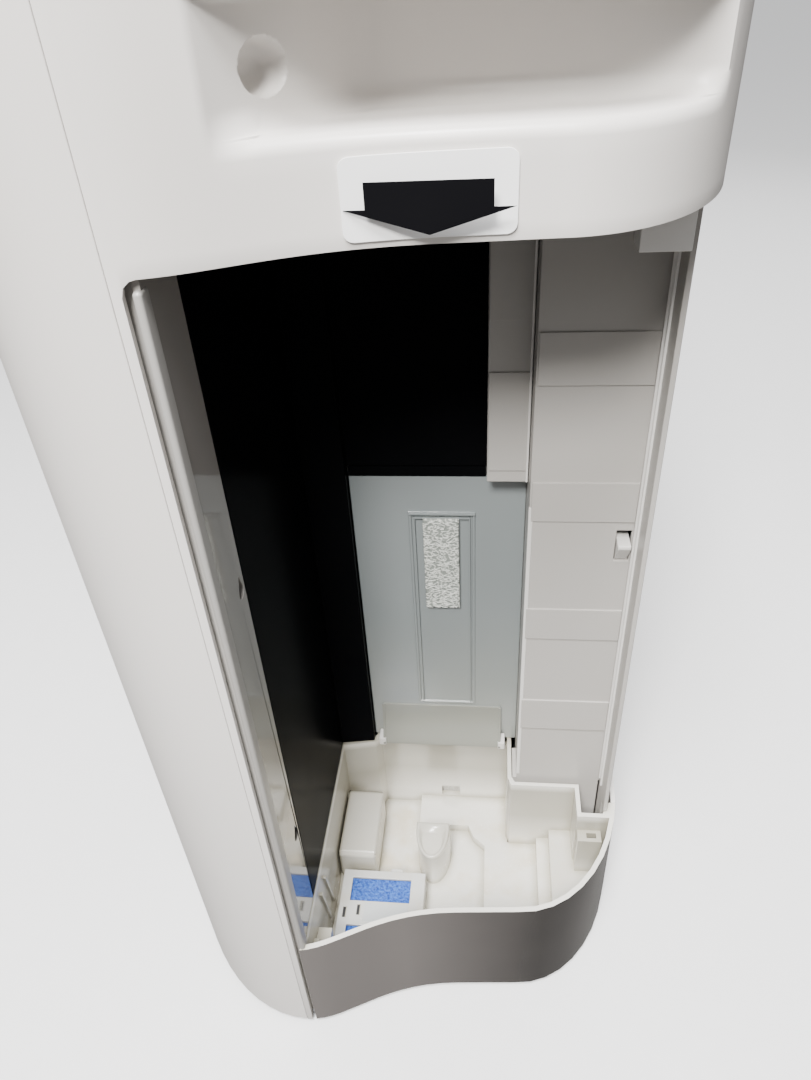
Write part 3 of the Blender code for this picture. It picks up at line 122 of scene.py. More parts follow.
def make_surround():
    """A room with a pale ceiling and dim walls, and a plain backdrop for the camera alone."""
    world = bpy.data.worlds.new("surround")
    world.use_nodes = True
    tree = world.node_tree
    sky = tree.nodes["Background"]
    sky.inputs["Color"].default_value = (0.93, 0.94, 0.96, 1)
    place = tree.nodes.new("ShaderNodeTexCoord")
    split = tree.nodes.new("ShaderNodeSeparateXYZ")
    rise = tree.nodes.new("ShaderNodeMapRange")
    rise.inputs["From Min"].default_value = 0.15
    rise.inputs["From Max"].default_value = 0.95
    rise.inputs["To Min"].default_value = 0.12
    rise.inputs["To Max"].default_value = 0.95
    tree.links.new(place.outputs["Generated"], split.inputs["Vector"])
    tree.links.new(split.outputs["Z"], rise.inputs["Value"])
    tree.links.new(rise.outputs["Result"], sky.inputs["Strength"])
    backdrop = tree.nodes.new("ShaderNodeBackground")
    backdrop.inputs["Color"].default_value = (0.72, 0.72, 0.73, 1)
    path = tree.nodes.new("ShaderNodeLightPath")
    either = tree.nodes.new("ShaderNodeMixShader")
    tree.links.new(path.outputs["Is Camera Ray"], either.inputs["Fac"])
    tree.links.new(sky.outputs["Background"], either.inputs[1])
    tree.links.new(backdrop.outputs["Background"], either.inputs[2])
    tree.links.new(either.outputs["Shader"], tree.nodes["World Output"].inputs["Surface"])
    bpy.context.scene.world = world


make_surround()

# %% [markdown]
# ## Shared shader effects
#
# Three things happen to moulded parts, so each is a node group: the faint orange-peel of the
# mould, the grime that settles low down and in patches, and the pale scale that water leaves.
# A group hands out only masks and heights; the shader itself stays in each material.
#
# A node tree is made of the same few moves over and over: add a node, set what is constant, link
# what varies. Each move is a small function, so that a finish below reads as a recipe.

# %% Empty group


def group(name, inputs, outputs):
    """An empty shader group with float inputs and float outputs, and its two end nodes."""
    tree = bpy.data.node_groups.new(name, "ShaderNodeTree")
    for label, value in inputs.items():
        socket = tree.interface.new_socket(label, in_out="INPUT", socket_type="NodeSocketFloat")
        socket.default_value = value
    for label in outputs:
        tree.interface.new_socket(label, in_out="OUTPUT", socket_type="NodeSocketFloat")
    start = tree.nodes.new("NodeGroupInput")
    end = tree.nodes.new("NodeGroupOutput")
    return tree, start, end


# %% Value nodes


def set_inputs(node, **values):
    """Sets some inputs of a node by name, with _ where the name has a space."""
    for label, value in values.items():
        node.inputs[label.replace("_", " ")].default_value = value
    return node


def feed(tree, slot, value):
    """Links a socket into an input, or sets a constant there."""
    if isinstance(value, bpy.types.NodeSocket):
        tree.links.new(value, slot)
    else:
        slot.default_value = value


def noise(tree, coordinates, scale, detail=3.0, roughness=0.5):
    """A noise texture on given coordinates; returns its value socket."""
    node = tree.nodes.new("ShaderNodeTexNoise")
    set_inputs(node, Detail=detail, Roughness=roughness)
    feed(tree, node.inputs["Scale"], scale)
    tree.links.new(coordinates, node.inputs["Vector"])
    return node.outputs["Fac"]


def ramp(tree, value, low, high, start=0.0, end=1.0):
    """Maps a value from low..high to start..end, and stops at both. Low and high may be sockets."""
    node = set_inputs(tree.nodes.new("ShaderNodeMapRange"), To_Min=start, To_Max=end)
    feed(tree, node.inputs["From Min"], low)
    feed(tree, node.inputs["From Max"], high)
    tree.links.new(value, node.inputs["Value"])
    return node.outputs["Result"]


def maths(tree, operation, *operands):
    """One Math node; each operand is a socket or a number."""
    node = tree.nodes.new("ShaderNodeMath")
    node.operation = operation
    for slot, value in zip(node.inputs, operands):
        feed(tree, slot, value)
    return node.outputs["Value"]


# %% Coordinates


def stretched(tree, scale):
    """Object coordinates scaled by a different factor along each axis."""
    place = tree.nodes.new("ShaderNodeTexCoord")
    mapping = set_inputs(tree.nodes.new("ShaderNodeMapping"), Scale=scale)
    tree.links.new(place.outputs["Object"], mapping.inputs["Vector"])
    return mapping.outputs["Vector"]


def along(tree, axis):
    """One axis of object coordinates, in metres."""
    place = tree.nodes.new("ShaderNodeTexCoord")
    split = tree.nodes.new("ShaderNodeSeparateXYZ")
    tree.links.new(place.outputs["Object"], split.inputs["Vector"])
    return split.outputs[axis]


def height_of(tree):
    """The Z of object coordinates, in metres."""
    return along(tree, "Z")


# %% [markdown]
# A steel mould is polished by hand and then etched, so the plastic has a fine pebble on slow
# waves. Both are noise; the waves matter more, because they bend long reflections.

# %% Mould grain


def make_mould_grain():
    """Fine pebble and long waves of a moulded surface."""
    tree, start, end = group("mould_grain", {"Pebble": 900.0}, ("Height", "Sheen Break"))
    place = stretched(tree, (1, 1, 1))
    pebble = noise(tree, place, start.outputs["Pebble"], 2)
    swell = noise(tree, stretched(tree, (1, 1, 0.35)), 14.0, 1)
    height = maths(tree, "ADD", maths(tree, "MULTIPLY", pebble, 0.10), swell)
    tree.links.new(height, end.inputs["Height"])
    blotch = ramp(tree, noise(tree, place, 22.0, 1), 0.15, 0.85, -0.5, 0.5)
    tree.links.new(blotch, end.inputs["Sheen Break"])
    return tree


MOULD_GRAIN = make_mould_grain()
print("mould grain:", len(MOULD_GRAIN.nodes), "nodes")

# %% [markdown]
# Dust settles on the foot of a machine that stands on the floor, in soft patches. Hands and
# cloths leave faint upright rubs. Height gives the first and stretched noise the second.

# %% Grime


def make_grime():
    """Dust that is heavier low down and in patches, and short rubbed streaks."""
    tree, start, end = group("grime", {"Foot": 0.0, "Top": 0.45}, ("Dust", "Streak"))
    low = ramp(tree, height_of(tree), start.outputs["Foot"], start.outputs["Top"], 1.0, 0.15)
    patches = ramp(tree, noise(tree, stretched(tree, (1, 1, 1)), 31.0, 1, 0.5), 0.35, 0.85)
    tree.links.new(maths(tree, "MULTIPLY", patches, low), end.inputs["Dust"])
    drawn = noise(tree, stretched(tree, (1, 1, 0.08)), 95.0, 3, 0.6)
    tree.links.new(ramp(tree, drawn, 0.50, 0.90), end.inputs["Streak"])
    return tree


GRIME = make_grime()
print("grime:", len(GRIME.nodes), "nodes")

# %% [markdown]
# Water that stands and dries leaves a yellow stain with soft edges and hard white specks of
# lime, and neither goes above the level that the water reached.

# %% Water scale


def make_scale():
    """Lime specks and yellowed water stain that pool below a level."""
    tree, start, end = group("water_scale", {"Level": 0.05}, ("Stain", "Specks"))
    below = ramp(tree, height_of(tree), 0.012, start.outputs["Level"], 1.0, 0.0)
    place = stretched(tree, (1, 1, 1))
    pools = ramp(tree, noise(tree, place, 38.0, 5, 0.6), 0.48, 0.70)
    tree.links.new(maths(tree, "MULTIPLY", pools, below), end.inputs["Stain"])
    specks = ramp(tree, noise(tree, place, 420.0, 4, 0.7), 0.63, 0.72)
    tree.links.new(maths(tree, "MULTIPLY", specks, below), end.inputs["Specks"])
    return tree


WATER_SCALE = make_scale()
print("shader groups:", [t.name for t in (MOULD_GRAIN, GRIME, WATER_SCALE)])

# %% [markdown]
# ## Finishes
#
# Nearly everything is moulded plastic, in different colours and gloss. One function makes such a
# finish: colour drifts slightly, dust dulls it, roughness breaks up in blotches, and a very
# shallow bump bends the reflections. What is uniform is set on the shader's own sockets.

# %% Material helpers


def place_group(tree, source, **values):
    """Puts a shared group in a material with its own input values."""
    node = tree.nodes.new("ShaderNodeGroup")
    node.node_tree = source
    return set_inputs(node, **values)


def blend_colour(tree, mask, base, tint):
    """Mixes two colours by a mask; base may be a socket."""
    node = tree.nodes.new("ShaderNodeMix")
    node.data_type = "RGBA"
    tree.links.new(mask, node.inputs["Factor"])
    feed(tree, node.inputs["A"], (*base, 1) if isinstance(base, tuple) else base)
    node.inputs["B"].default_value = (*tint, 1)
    return node.outputs["Result"]


def new_finish(name):
    """A material with an empty Principled shader."""
    material = bpy.data.materials.new(name)
    material.use_nodes = True
    shader = material.node_tree.nodes["Principled BSDF"]
    return material, material.node_tree, shader


def bump(tree, shader, height, strength, distance=0.0004):
    """Feeds a height to the shader's normal."""
    node = set_inputs(tree.nodes.new("ShaderNodeBump"), Strength=strength, Distance=distance)
    tree.links.new(height, node.inputs["Height"])
    tree.links.new(node.outputs["Normal"], shader.inputs["Normal"])


def scaled(colour, factor):
    """A colour made lighter or darker."""
    return tuple(min(1.0, c * factor) for c in colour)


# %% Moulded plastic


def plastic(name, colour, roughness, dust=0.12, relief=0.10, pebble=900.0, coat=0.0,
            dust_colour=(0.42, 0.38, 0.32), specular=0.5, painted_shading=None):
    """Moulded plastic in one colour. An optional ramp along an axis, given by the axis, its two
    ends and a far colour, paints a gradient of light and shade into the colour.
    """
    material, tree, shader = new_finish(name)
    grain = place_group(tree, MOULD_GRAIN, Pebble=pebble)
    grime = place_group(tree, GRIME)
    drift = noise(tree, stretched(tree, (1, 1, 0.6)), 7.0, 2)
    colours = blend_colour(tree, ramp(tree, drift, 0.1, 0.9), scaled(colour, 0.955),
                           scaled(colour, 1.04))
    # Painted light and shade: the colour ramps towards a far colour along one axis.
    if painted_shading is not None:
        axis, near, far, tint = painted_shading
        colours = blend_colour(tree, ramp(tree, along(tree, axis), near, far), colours, tint)
    dusty = maths(tree, "MULTIPLY", grime.outputs["Dust"], dust)
    colours = blend_colour(tree, dusty, colours, dust_colour)
    tree.links.new(colours, shader.inputs["Base Color"])
    shine = maths(tree, "MULTIPLY_ADD", grain.outputs["Sheen Break"], 0.07, roughness)
    worn = maths(tree, "MULTIPLY_ADD", grime.outputs["Streak"], 0.03, shine)
    tree.links.new(worn, shader.inputs["Roughness"])
    bump(tree, shader, grain.outputs["Height"], relief)
    set_inputs(shader, Coat_Weight=coat, Coat_Roughness=0.08, Specular_IOR_Level=specular)
    return material


# %% [markdown]
# The casing is a warm white, and the liners are black or pale. Four of them get painted light and
# shade along one axis: the casing is painted lighter low down, for light thrown up from the floor;
# the pale wall is painted darker at the top, as the shadow under the grip; the reveal is painted
# darker towards its foot, and the tray's skin darker on the side that turns away from the light.

# %% Plastic finishes
# Painted light: the casing is painted lighter towards the floor, for light thrown up from it.
CASING = plastic("casing_warm_white", (0.700, 0.672, 0.640), 0.30, dust=0.05, relief=0.07,
                 painted_shading=("Z", 0.50, 0.28, (0.800, 0.775, 0.745)))
# Painted shadow: the pale wall is painted darker at the top, where the grip overhang shades it.
INNER_WALL = plastic("bay_wall_pale", (0.470, 0.452, 0.425), 0.34, dust=0.20, relief=0.08,
                     painted_shading=("Z", 0.33, 0.42, (0.330, 0.315, 0.295)))
BEAD_PALE = plastic("bead_pale", (0.320, 0.310, 0.294), 0.34, dust=0.05)
SMALL_PALE = plastic("latch_white", (0.760, 0.745, 0.715), 0.38)
BLACK_GLOSS = plastic("liner_gloss_black", (0.0030, 0.0032, 0.0038), 0.22, dust=0.003, relief=0.02,
                      specular=0.004)
DARK_PLASTIC = plastic("duct_charcoal", (0.028, 0.028, 0.030), 0.48, dust=0.10)
STRUCTURE = plastic("structure_grey", (0.235, 0.235, 0.240), 0.50, dust=0.15)
KEYS = plastic("key_grey_white", (0.640, 0.625, 0.600), 0.34)
PANEL = plastic("panel_pearl_grey", (0.385, 0.380, 0.375), 0.28, coat=0.4)
RUBBER = plastic("foot_rubber", (0.020, 0.020, 0.021), 0.72, dust=0.30, relief=0.35, pebble=1500.0)
# Painted shade: the reveal is painted darker towards the bottom.
REVEAL_GLOSS = plastic("reveal_gloss_pale", (0.290, 0.274, 0.256), 0.06, dust=0.06, relief=0.03,
                       coat=0.15, specular=0.35,
                       painted_shading=("Z", 0.34, 0.14, (0.120, 0.112, 0.102)))
# Painted shade: the tray's skin is painted darker towards +Y, the side that turns away from the
# light.
TRAY_SKIN = plastic("tray_skin_taupe", (0.140, 0.128, 0.122), 0.20, dust=0.02, relief=0.05,
                    painted_shading=("Y", 0.02, 0.10, (0.022, 0.020, 0.019)), specular=0.35)
print("plastics:", len(bpy.data.materials))

# %% [markdown]
# The drain tray is the same white plastic, but water has stood in it: a yellow stain gathers
# near the floor, and fine lime specks dry on it. Shade is painted in too: the walls are painted
# darker and yellower than the floor, and the corners darker still. Its outer skin is taupe, so
# the tray gets two finishes, by which way a face looks.

# %% Wet tray


def wet_white(name, colour, level):
    """White plastic with water stain and lime specks below a level, and painted shade on the walls
    and in the corners.
    """
    material, tree, shader = new_finish(name)
    grain = place_group(tree, MOULD_GRAIN, Pebble=700.0)
    scale = place_group(tree, WATER_SCALE, Level=level)
    drift = ramp(tree, noise(tree, stretched(tree, (1, 1, 1)), 12.0, 1), 0.1, 0.9)
    colours = blend_colour(tree, drift, scaled(colour, 0.96), scaled(colour, 1.03))
    stain = maths(tree, "MULTIPLY", scale.outputs["Stain"], 0.50)
    colours = blend_colour(tree, stain, colours, (0.56, 0.45, 0.24))
    # Painted shade: corners and creases are darkened by ambient occlusion, as shade falls there.
    corner_shade_ao = set_inputs(tree.nodes.new("ShaderNodeAmbientOcclusion"), Distance=7 * MM)
    corner_shade_ao.samples = 8
    corner = ramp(tree, corner_shade_ao.outputs["AO"], 0.45, 0.95, 0.75, 0.0)
    colours = blend_colour(tree, corner, colours, (0.36, 0.33, 0.24))
    # Painted shade: faces from 30 mm up to the rim are painted darker and yellower than the lit
    # floor.
    height = height_of(tree)
    wall_shade = maths(tree, "MULTIPLY", ramp(tree, height, 0.030, 0.055),
                 ramp(tree, height, 0.081, 0.085, 0.75, 0.0))
    colours = blend_colour(tree, wall_shade, colours, (0.33, 0.31, 0.245))
    specks = maths(tree, "MULTIPLY", scale.outputs["Specks"], 0.55)
    colours = blend_colour(tree, specks, colours, (0.86, 0.85, 0.80))
    tree.links.new(colours, shader.inputs["Base Color"])
    shine = maths(tree, "MULTIPLY_ADD", scale.outputs["Specks"], 0.25, 0.24)
    tree.links.new(shine, shader.inputs["Roughness"])
    bump(tree, shader, grain.outputs["Height"], 0.08)
    set_inputs(shader, Coat_Weight=0.3, Coat_Roughness=0.1)
    return material


TRAY_WHITE = wet_white("tray_wet_white", (0.740, 0.722, 0.660), 0.055)
CASE_PALE = wet_white("cartridge_case_pale", (0.600, 0.605, 0.590), 0.060)
print("wet finishes:", TRAY_WHITE.name, CASE_PALE.name)

# %% [markdown]
# The splash cover is a satin, slightly milky sheet. The wall behind it shows only as a soft
# drift from a cool grey to a warm one near its foot, so the finish carries that drift itself,
# with a little sheen for the milkiness and a thin clear coat for the moulded skin.

# %% Milky sheet


def milky_sheet(name, colour, roughness):
    """Satin translucent plastic."""
    material, tree, shader = new_finish(name)
    grain = place_group(tree, MOULD_GRAIN, Pebble=1300.0)
    cloud = ramp(tree, noise(tree, stretched(tree, (1, 1, 0.4)), 16.0, 1), 0.1, 0.9)
    fade = ramp(tree, height_of(tree), 0.09, 0.20)
    colours = blend_colour(tree, cloud, scaled(colour, 0.94), scaled(colour, 1.05))
    warm = maths(tree, "SUBTRACT", 1.0, fade)
    colours = blend_colour(tree, maths(tree, "MULTIPLY", warm, 0.5), colours, (0.36, 0.36, 0.31))
    tree.links.new(colours, shader.inputs["Base Color"])
    shine = maths(tree, "MULTIPLY_ADD", grain.outputs["Sheen Break"], 0.02, roughness)
    tree.links.new(shine, shader.inputs["Roughness"])
    bump(tree, shader, grain.outputs["Height"], 0.04)
    set_inputs(shader, Sheen_Weight=0.15, Sheen_Roughness=0.4, Coat_Weight=0.35,
               Coat_Roughness=0.12)
    return material


SPLASH_GREY = milky_sheet("splash_milky_grey", (0.240, 0.268, 0.272), 0.26)
FLAP_MILKY = milky_sheet("flap_milky_white", (0.205, 0.212, 0.186), 0.24)
CASE_MILKY = milky_sheet("case_milky_white", (0.700, 0.740, 0.780), 0.20)
print("milky finishes:", SPLASH_GREY.name, FLAP_MILKY.name, CASE_MILKY.name)

# %% [markdown]
# Foam, sponge, filter fleece and honeycomb are all two tones of the same stuff, and darker where
# the surface is sunk, because little light gets in there. The relief of a piece is kept as an
# attribute on its mesh, and the finish reads it back. Metals show fine drawn lines instead.

# %% Fibre and foam


def speckled(name, dark, light, scale, roughness, relief, detail=4.0, hollow=None):
    """A matt fibrous or porous surface of two colours, darker in the hollows of its relief."""
    material, tree, shader = new_finish(name)
    grains = noise(tree, stretched(tree, (1, 1, 1)), scale, detail, 0.65)
    colours = blend_colour(tree, ramp(tree, grains, 0.34, 0.66), dark, light)
    if hollow is not None:
        mark = tree.nodes.new("ShaderNodeAttribute")
        mark.attribute_name = "relief"
        sunk = ramp(tree, mark.outputs["Fac"], 0.0, 0.9, 1.0, 0.0)
        colours = blend_colour(tree, sunk, colours, hollow)
    tree.links.new(colours, shader.inputs["Base Color"])
    tree.links.new(ramp(tree, grains, 0.2, 0.8, roughness - 0.06, roughness + 0.06),
                   shader.inputs["Roughness"])
    bump(tree, shader, grains, relief, 0.0006)
    return material


# %% Drawn metal


def metal(name, colour, roughness, stretch):
    """Metal with fine drawn lines along the axis of the smallest stretch."""
    material, tree, shader = new_finish(name)
    lines = noise(tree, stretched(tree, stretch), 800.0, 3, 0.6)
    colours = blend_colour(tree, ramp(tree, lines, 0.3, 0.7), scaled(colour, 0.86), colour)
    tree.links.new(colours, shader.inputs["Base Color"])
    tree.links.new(ramp(tree, lines, 0.3, 0.7, roughness - 0.07, roughness + 0.07),
                   shader.inputs["Roughness"])
    bump(tree, shader, lines, 0.08, 0.0002)
    shader.inputs["Metallic"].default_value = 1.0
    return material


# %% Foam, label and metal finishes
FOAM = speckled("foam_off_white", (0.70, 0.72, 0.67), (0.90, 0.91, 0.87), 900.0, 0.55, 0.30,
                hollow=(0.27, 0.295, 0.27))
SPONGE = speckled("sponge_blue", (0.008, 0.045, 0.28), (0.050, 0.175, 0.58), 620.0, 0.62, 0.9,
                  hollow=(0.006, 0.030, 0.20))
FILTER = speckled("filter_fleece", (0.50, 0.49, 0.46), (0.74, 0.73, 0.69), 700.0, 0.85, 0.5)
ZEOLITE = speckled("zeolite_honeycomb", (0.30, 0.27, 0.23), (0.62, 0.58, 0.50), 520.0, 0.9, 0.8,
                   2.0)
BOARD = speckled("circuit_board", (0.010, 0.065, 0.028), (0.030, 0.125, 0.055), 260.0, 0.42, 0.3)
LABEL_WHITE = plastic("label_paper_white", (0.950, 0.950, 0.945), 0.30, dust=0.05, relief=0.03)
LABEL_BLACK = plastic("label_ink_black", (0.003, 0.003, 0.004), 0.42, dust=0.01, relief=0.03,
                      specular=0.10)
STEEL = metal("steel_drawn", (0.56, 0.56, 0.57), 0.30, (0.05, 1, 1))
ALUMINIUM = metal("fin_aluminium", (0.72, 0.73, 0.74), 0.34, (1, 1, 0.05))
LENS = plastic("display_smoke", (0.012, 0.013, 0.015), 0.07, dust=0.01, relief=0.02, coat=0.8)
print("finishes so far:", len(bpy.data.materials))

# %% Display glow


def glow(name, colour, strength):
    """Plastic that gives off a little light of its own."""
    material = plastic(name, colour, 0.30, dust=0.02, relief=0.02)
    shader = material.node_tree.nodes["Principled BSDF"]
    set_inputs(shader, Emission_Color=(*colour, 1), Emission_Strength=strength)
    return material


DIGIT_GLOW = glow("digit_glow_green", (0.42, 0.86, 0.70), 0.8)
print("glow:", DIGIT_GLOW.name)

# %% [markdown]
# A white floor would light the bay from below, where a real room is dim. So the floor is pale
# to the camera and darker to every other ray.

# %% Floor finish


def make_floor():
    """Pale floor that looks light, but throws little light back up into the bay."""
    material = speckled("floor_pale", (0.78, 0.78, 0.78), (0.80, 0.80, 0.80), 60.0, 0.85, 0.05)
    tree = material.node_tree
    seen = tree.nodes["Principled BSDF"]
    set_inputs(seen, Emission_Color=(1, 1, 1, 1), Emission_Strength=0.30)
    dim = set_inputs(tree.nodes.new("ShaderNodeBsdfDiffuse"), Color=(0.16, 0.155, 0.15, 1))
    path = tree.nodes.new("ShaderNodeLightPath")
    either = tree.nodes.new("ShaderNodeMixShader")
    tree.links.new(path.outputs["Is Camera Ray"], either.inputs["Fac"])
    tree.links.new(dim.outputs["BSDF"], either.inputs[1])
    tree.links.new(seen.outputs["BSDF"], either.inputs[2])
    tree.links.new(either.outputs["Shader"], tree.nodes["Material Output"].inputs["Surface"])
    return material


FLOOR = make_floor()
print("finishes:", len(bpy.data.materials))

# %% [markdown]
# ## Softened shells
#
# A moulding never has a knife edge: every corner has a small radius, and that radius is what
# catches the light and makes the part look real. The solids have sharp edges, so each visible
# one is copied, its flat faces are joined, and a Bevel modifier rounds the edges by weight. The
# weight lets the hand grip have a generous radius while a rib keeps a crisp one.

# %% Piece helpers


def finished(thing, body, slot, material, *stands_for):
    """Gives a piece its material and its body, and hides the solids it stands for; its slot is not
    used.
    """
    if material is not None:
        thing.data.materials.clear()
        thing.data.materials.append(material)
    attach(thing, body)
    if stands_for:
        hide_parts(*stands_for)
    return thing


def linked(name, bm):
    """A new object from a bmesh."""
    mesh = bpy.data.meshes.new(name)
    bm.normal_update()
    bm.to_mesh(mesh)
    bm.free()
    thing = bpy.data.objects.new(name, mesh)
    bpy.context.scene.collection.objects.link(thing)
    return thing


def settle(thing):
    """Turns a piece's modifiers into plain mesh."""
    graph = bpy.context.evaluated_depsgraph_get()
    mesh = bpy.data.meshes.new_from_object(thing.evaluated_get(graph))
    thing.modifiers.clear()
    thing.data = mesh
    return thing


def smooth(thing, angle=32.0):
    """Smooth shading, with sharp edges only where faces turn by more than the angle."""
    thing.data.shade_smooth()
    thing.data.set_sharp_from_angle(angle=radians(angle))
    return thing


# %% [markdown]
# The solids come as facets, so a flat wall is many triangles. Merging the vertices and joining
# the flat faces leaves only the true edges, and a bevel can only be even on those.

# %% Copies and booleans


def joined(bm, reach=0.01 * MM, turn=0.4):
    """Merges vertices within a reach, and joins faces that turn by less than some degrees."""
    bmesh.ops.remove_doubles(bm, verts=bm.verts, dist=reach)
    bmesh.ops.dissolve_limit(bm, angle_limit=radians(turn), verts=bm.verts, edges=bm.edges)


def copy_of(node, name, shortest=0):
    """A merged copy of a solid, with its flat faces joined and its shortest edges closed up."""
    bm = bmesh.new()
    bm.from_mesh(frame["nodes"][node].data)
    joined(bm)
    if shortest:
        joined(bm, shortest, 1.5)
    return linked(name, bm)


def carve(thing, operation, *tools):
    """Booleans a piece with tools, which are then removed."""
    for tool in tools:
        modifier = thing.modifiers.new(operation.lower(), "BOOLEAN")
        modifier.operation = operation
        modifier.solver = "EXACT"
        modifier.object = tool
    settle(thing)
    for tool in tools:
        bpy.data.objects.remove(tool)
    bm = bmesh.new()
    bm.from_mesh(thing.data)
    joined(bm)
    bm.to_mesh(thing.data)
    bm.free()
    return thing


# %% [markdown]
# The Bevel modifier has one width, the widest radius, and each edge's weight is its share of it.
# Weighted normals then keep the flat faces flat, so only the edges catch the light.

# %% Softening
EDGE_TURN = radians(25)


def soften(thing, radius, segments=2, special=None, clamp=False):
    """Rounds the edges that turn by more than EDGE_TURN. special finds a radius by place."""
    bm = bmesh.new()
    bm.from_mesh(thing.data)
    weight = bm.edges.layers.float.new("bevel_weight_edge")
    radii = {}
    for edge in bm.edges:
        if len(edge.link_faces) == 2 and edge.calc_face_angle(0) > EDGE_TURN:
            middle = (edge.verts[0].co + edge.verts[1].co) / 2
            radii[edge] = special(middle) if special else radius
    widest = max(radii.values())
    for edge, r in radii.items():
        edge[weight] = r / widest
    bm.to_mesh(thing.data)
    bm.free()
    bevel = thing.modifiers.new("softened edges", "BEVEL")
    bevel.width = widest
    bevel.segments = segments
    bevel.limit_method = "WEIGHT"
    bevel.use_clamp_overlap = clamp
    bevel.loop_slide = True
    settle(thing)
    smooth(thing)
    normals = thing.modifiers.new("even normals", "WEIGHTED_NORMAL")
    normals.keep_sharp = True
    return settle(thing)


# %% [markdown]
# Small mouldings that aren't among the solids are made from an outline: pushed straight along an
# axis, or carried through a stack of rings.

# %% Prisms and lofts


def prism(name, outline, low, high, axis="Z"):
    """A closed prism between two planes. The outline lies across the axis."""
    bm = bmesh.new()

    def corner(a, b, c):
        """A point from two places across the axis and one along it."""
        return {"Z": (a, b, c), "Y": (a, c, b), "X": (c, a, b)}[axis]
    bottom = [bm.verts.new(corner(a, b, low)) for a, b in outline]
    top = [bm.verts.new(corner(a, b, high)) for a, b in outline]
    bm.faces.new(bottom)
    bm.faces.new(top)
    count = len(outline)
    for i in range(count):
        bm.faces.new((bottom[i], bottom[(i + 1) % count], top[(i + 1) % count], top[i]))
    bmesh.ops.recalc_face_normals(bm, faces=bm.faces)
    return linked(name, bm)


def slab(name, low, high):
    """A closed box between two corners."""
    (x0, y0, z0), (x1, y1, z1) = low, high
    return prism(name, [(x0, y0), (x1, y0), (x1, y1), (x0, y1)], z0, z1)


def arc(centre, radius, start, end, count):
    """Points along an arc, in degrees."""
    turns = [radians(start + (end - start) * i / count) for i in range(count + 1)]
    return [(centre[0] + radius * cos(t), centre[1] + radius * sin(t)) for t in turns]


def skin_between(bm, rows):
    """Faces between neighbouring rows of vertices."""
    for a, b in zip(rows, rows[1:]):
        for i in range(len(a) - 1):
            bm.faces.new((a[i], b[i], b[i + 1], a[i + 1]))


def lofted(name, rings):
    """A closed and smooth solid through rings of points."""
    bm = bmesh.new()
    rows = [[bm.verts.new(point) for point in ring] for ring in rings]
    count = len(rows[0])
    for low, high in zip(rows, rows[1:]):
        for i in range(count):
            j = (i + 1) % count
            bm.faces.new((low[i], low[j], high[j], high[i]))
    bm.faces.new(rows[0])
    bm.faces.new(rows[-1])
    bmesh.ops.recalc_face_normals(bm, faces=bm.faces)
    return smooth(linked(name, bm), 50)


# %% [markdown]
# ### Places
#
# The small mouldings have to sit on the solids, so their places are measured from the solids'
# boxes, and the levels of the grip and the opening get a name once, here.

# %% Places taken from the solids
tray_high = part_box("drain_tray")[1]
label_low, label_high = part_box("arrow_label")
foam_low, foam_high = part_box("foam_strip")
sponge_low, sponge_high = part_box("cartridge_sponge")
HALF_WIDTH = cad_box[1][0]
GRIP_FLOOR = 487 * MM
GRIP_CEILING = 519 * MM
GRIP_BACK = 122 * MM
OPENING_TOP = 456 * MM
REVEAL_Y = -32.5 * MM
GROOVE_Y = (-37.2 * MM, -34.8 * MM)
BEAD_Y = (-34.8 * MM, -32.0 * MM)
print("tray rim at", round(tray_high.z, 4), "label at", [round(v, 4) for v in label_low])

# %% [markdown]
# ### Repeated bars
#
# Rib bands, frame bars, netting and guide lines are all boxes that differ only in place and size.
# One geometry-nodes tree makes them: every input point carries its own size, a unit box is put
# on each, and the boxes are realized into one mesh. Its modifier is applied at once.

# %% Bar tree


def new_tree(name, output, **inputs):
    """An empty geometry-nodes tree with named inputs and one output, and its two end nodes."""
    tree = bpy.data.node_groups.new(name, "GeometryNodeTree")
    for label, kind in inputs.items():
        tree.interface.new_socket(label.replace("_", " "), in_out="INPUT",
                                  socket_type="NodeSocket" + kind)
    tree.interface.new_socket(output, in_out="OUTPUT", socket_type="NodeSocketGeometry")
    return tree, tree.nodes.new("NodeGroupInput"), tree.nodes.new("NodeGroupOutput")


def node_at(tree, kind, **sockets):
    """A geometry node with some of its inputs set."""
    return set_inputs(tree.nodes.new(kind), **sockets)


def close_tree(tree, start, end, shape, spread):
    """Puts a shape on each place, makes real mesh of it, and gives it the finish."""
    solid = tree.nodes.new("GeometryNodeRealizeInstances")
    painted = tree.nodes.new("GeometryNodeSetMaterial")
    tree.links.new(start.outputs["Places"], spread.inputs["Points"])
    tree.links.new(shape.outputs["Mesh"], spread.inputs["Instance"])
    tree.links.new(spread.outputs["Instances"], solid.inputs["Geometry"])
    tree.links.new(solid.outputs["Geometry"], painted.inputs["Geometry"])
    tree.links.new(start.outputs["Finish"], painted.inputs["Material"])
    tree.links.new(painted.outputs["Geometry"], end.inputs[0])
    return tree


def make_bar_tree():
    """Puts a box on every point, with the size that the point carries."""
    tree, start, end = new_tree("sized_bars", "Bars", Places="Geometry", Finish="Material")
    box = node_at(tree, "GeometryNodeMeshCube", Size=(1, 1, 1))
    size = node_at(tree, "GeometryNodeInputNamedAttribute", Name="size")
    size.data_type = "FLOAT_VECTOR"
    spread = tree.nodes.new("GeometryNodeInstanceOnPoints")
    tree.links.new(size.outputs["Attribute"], spread.inputs["Scale"])
    return close_tree(tree, start, end, box, spread)


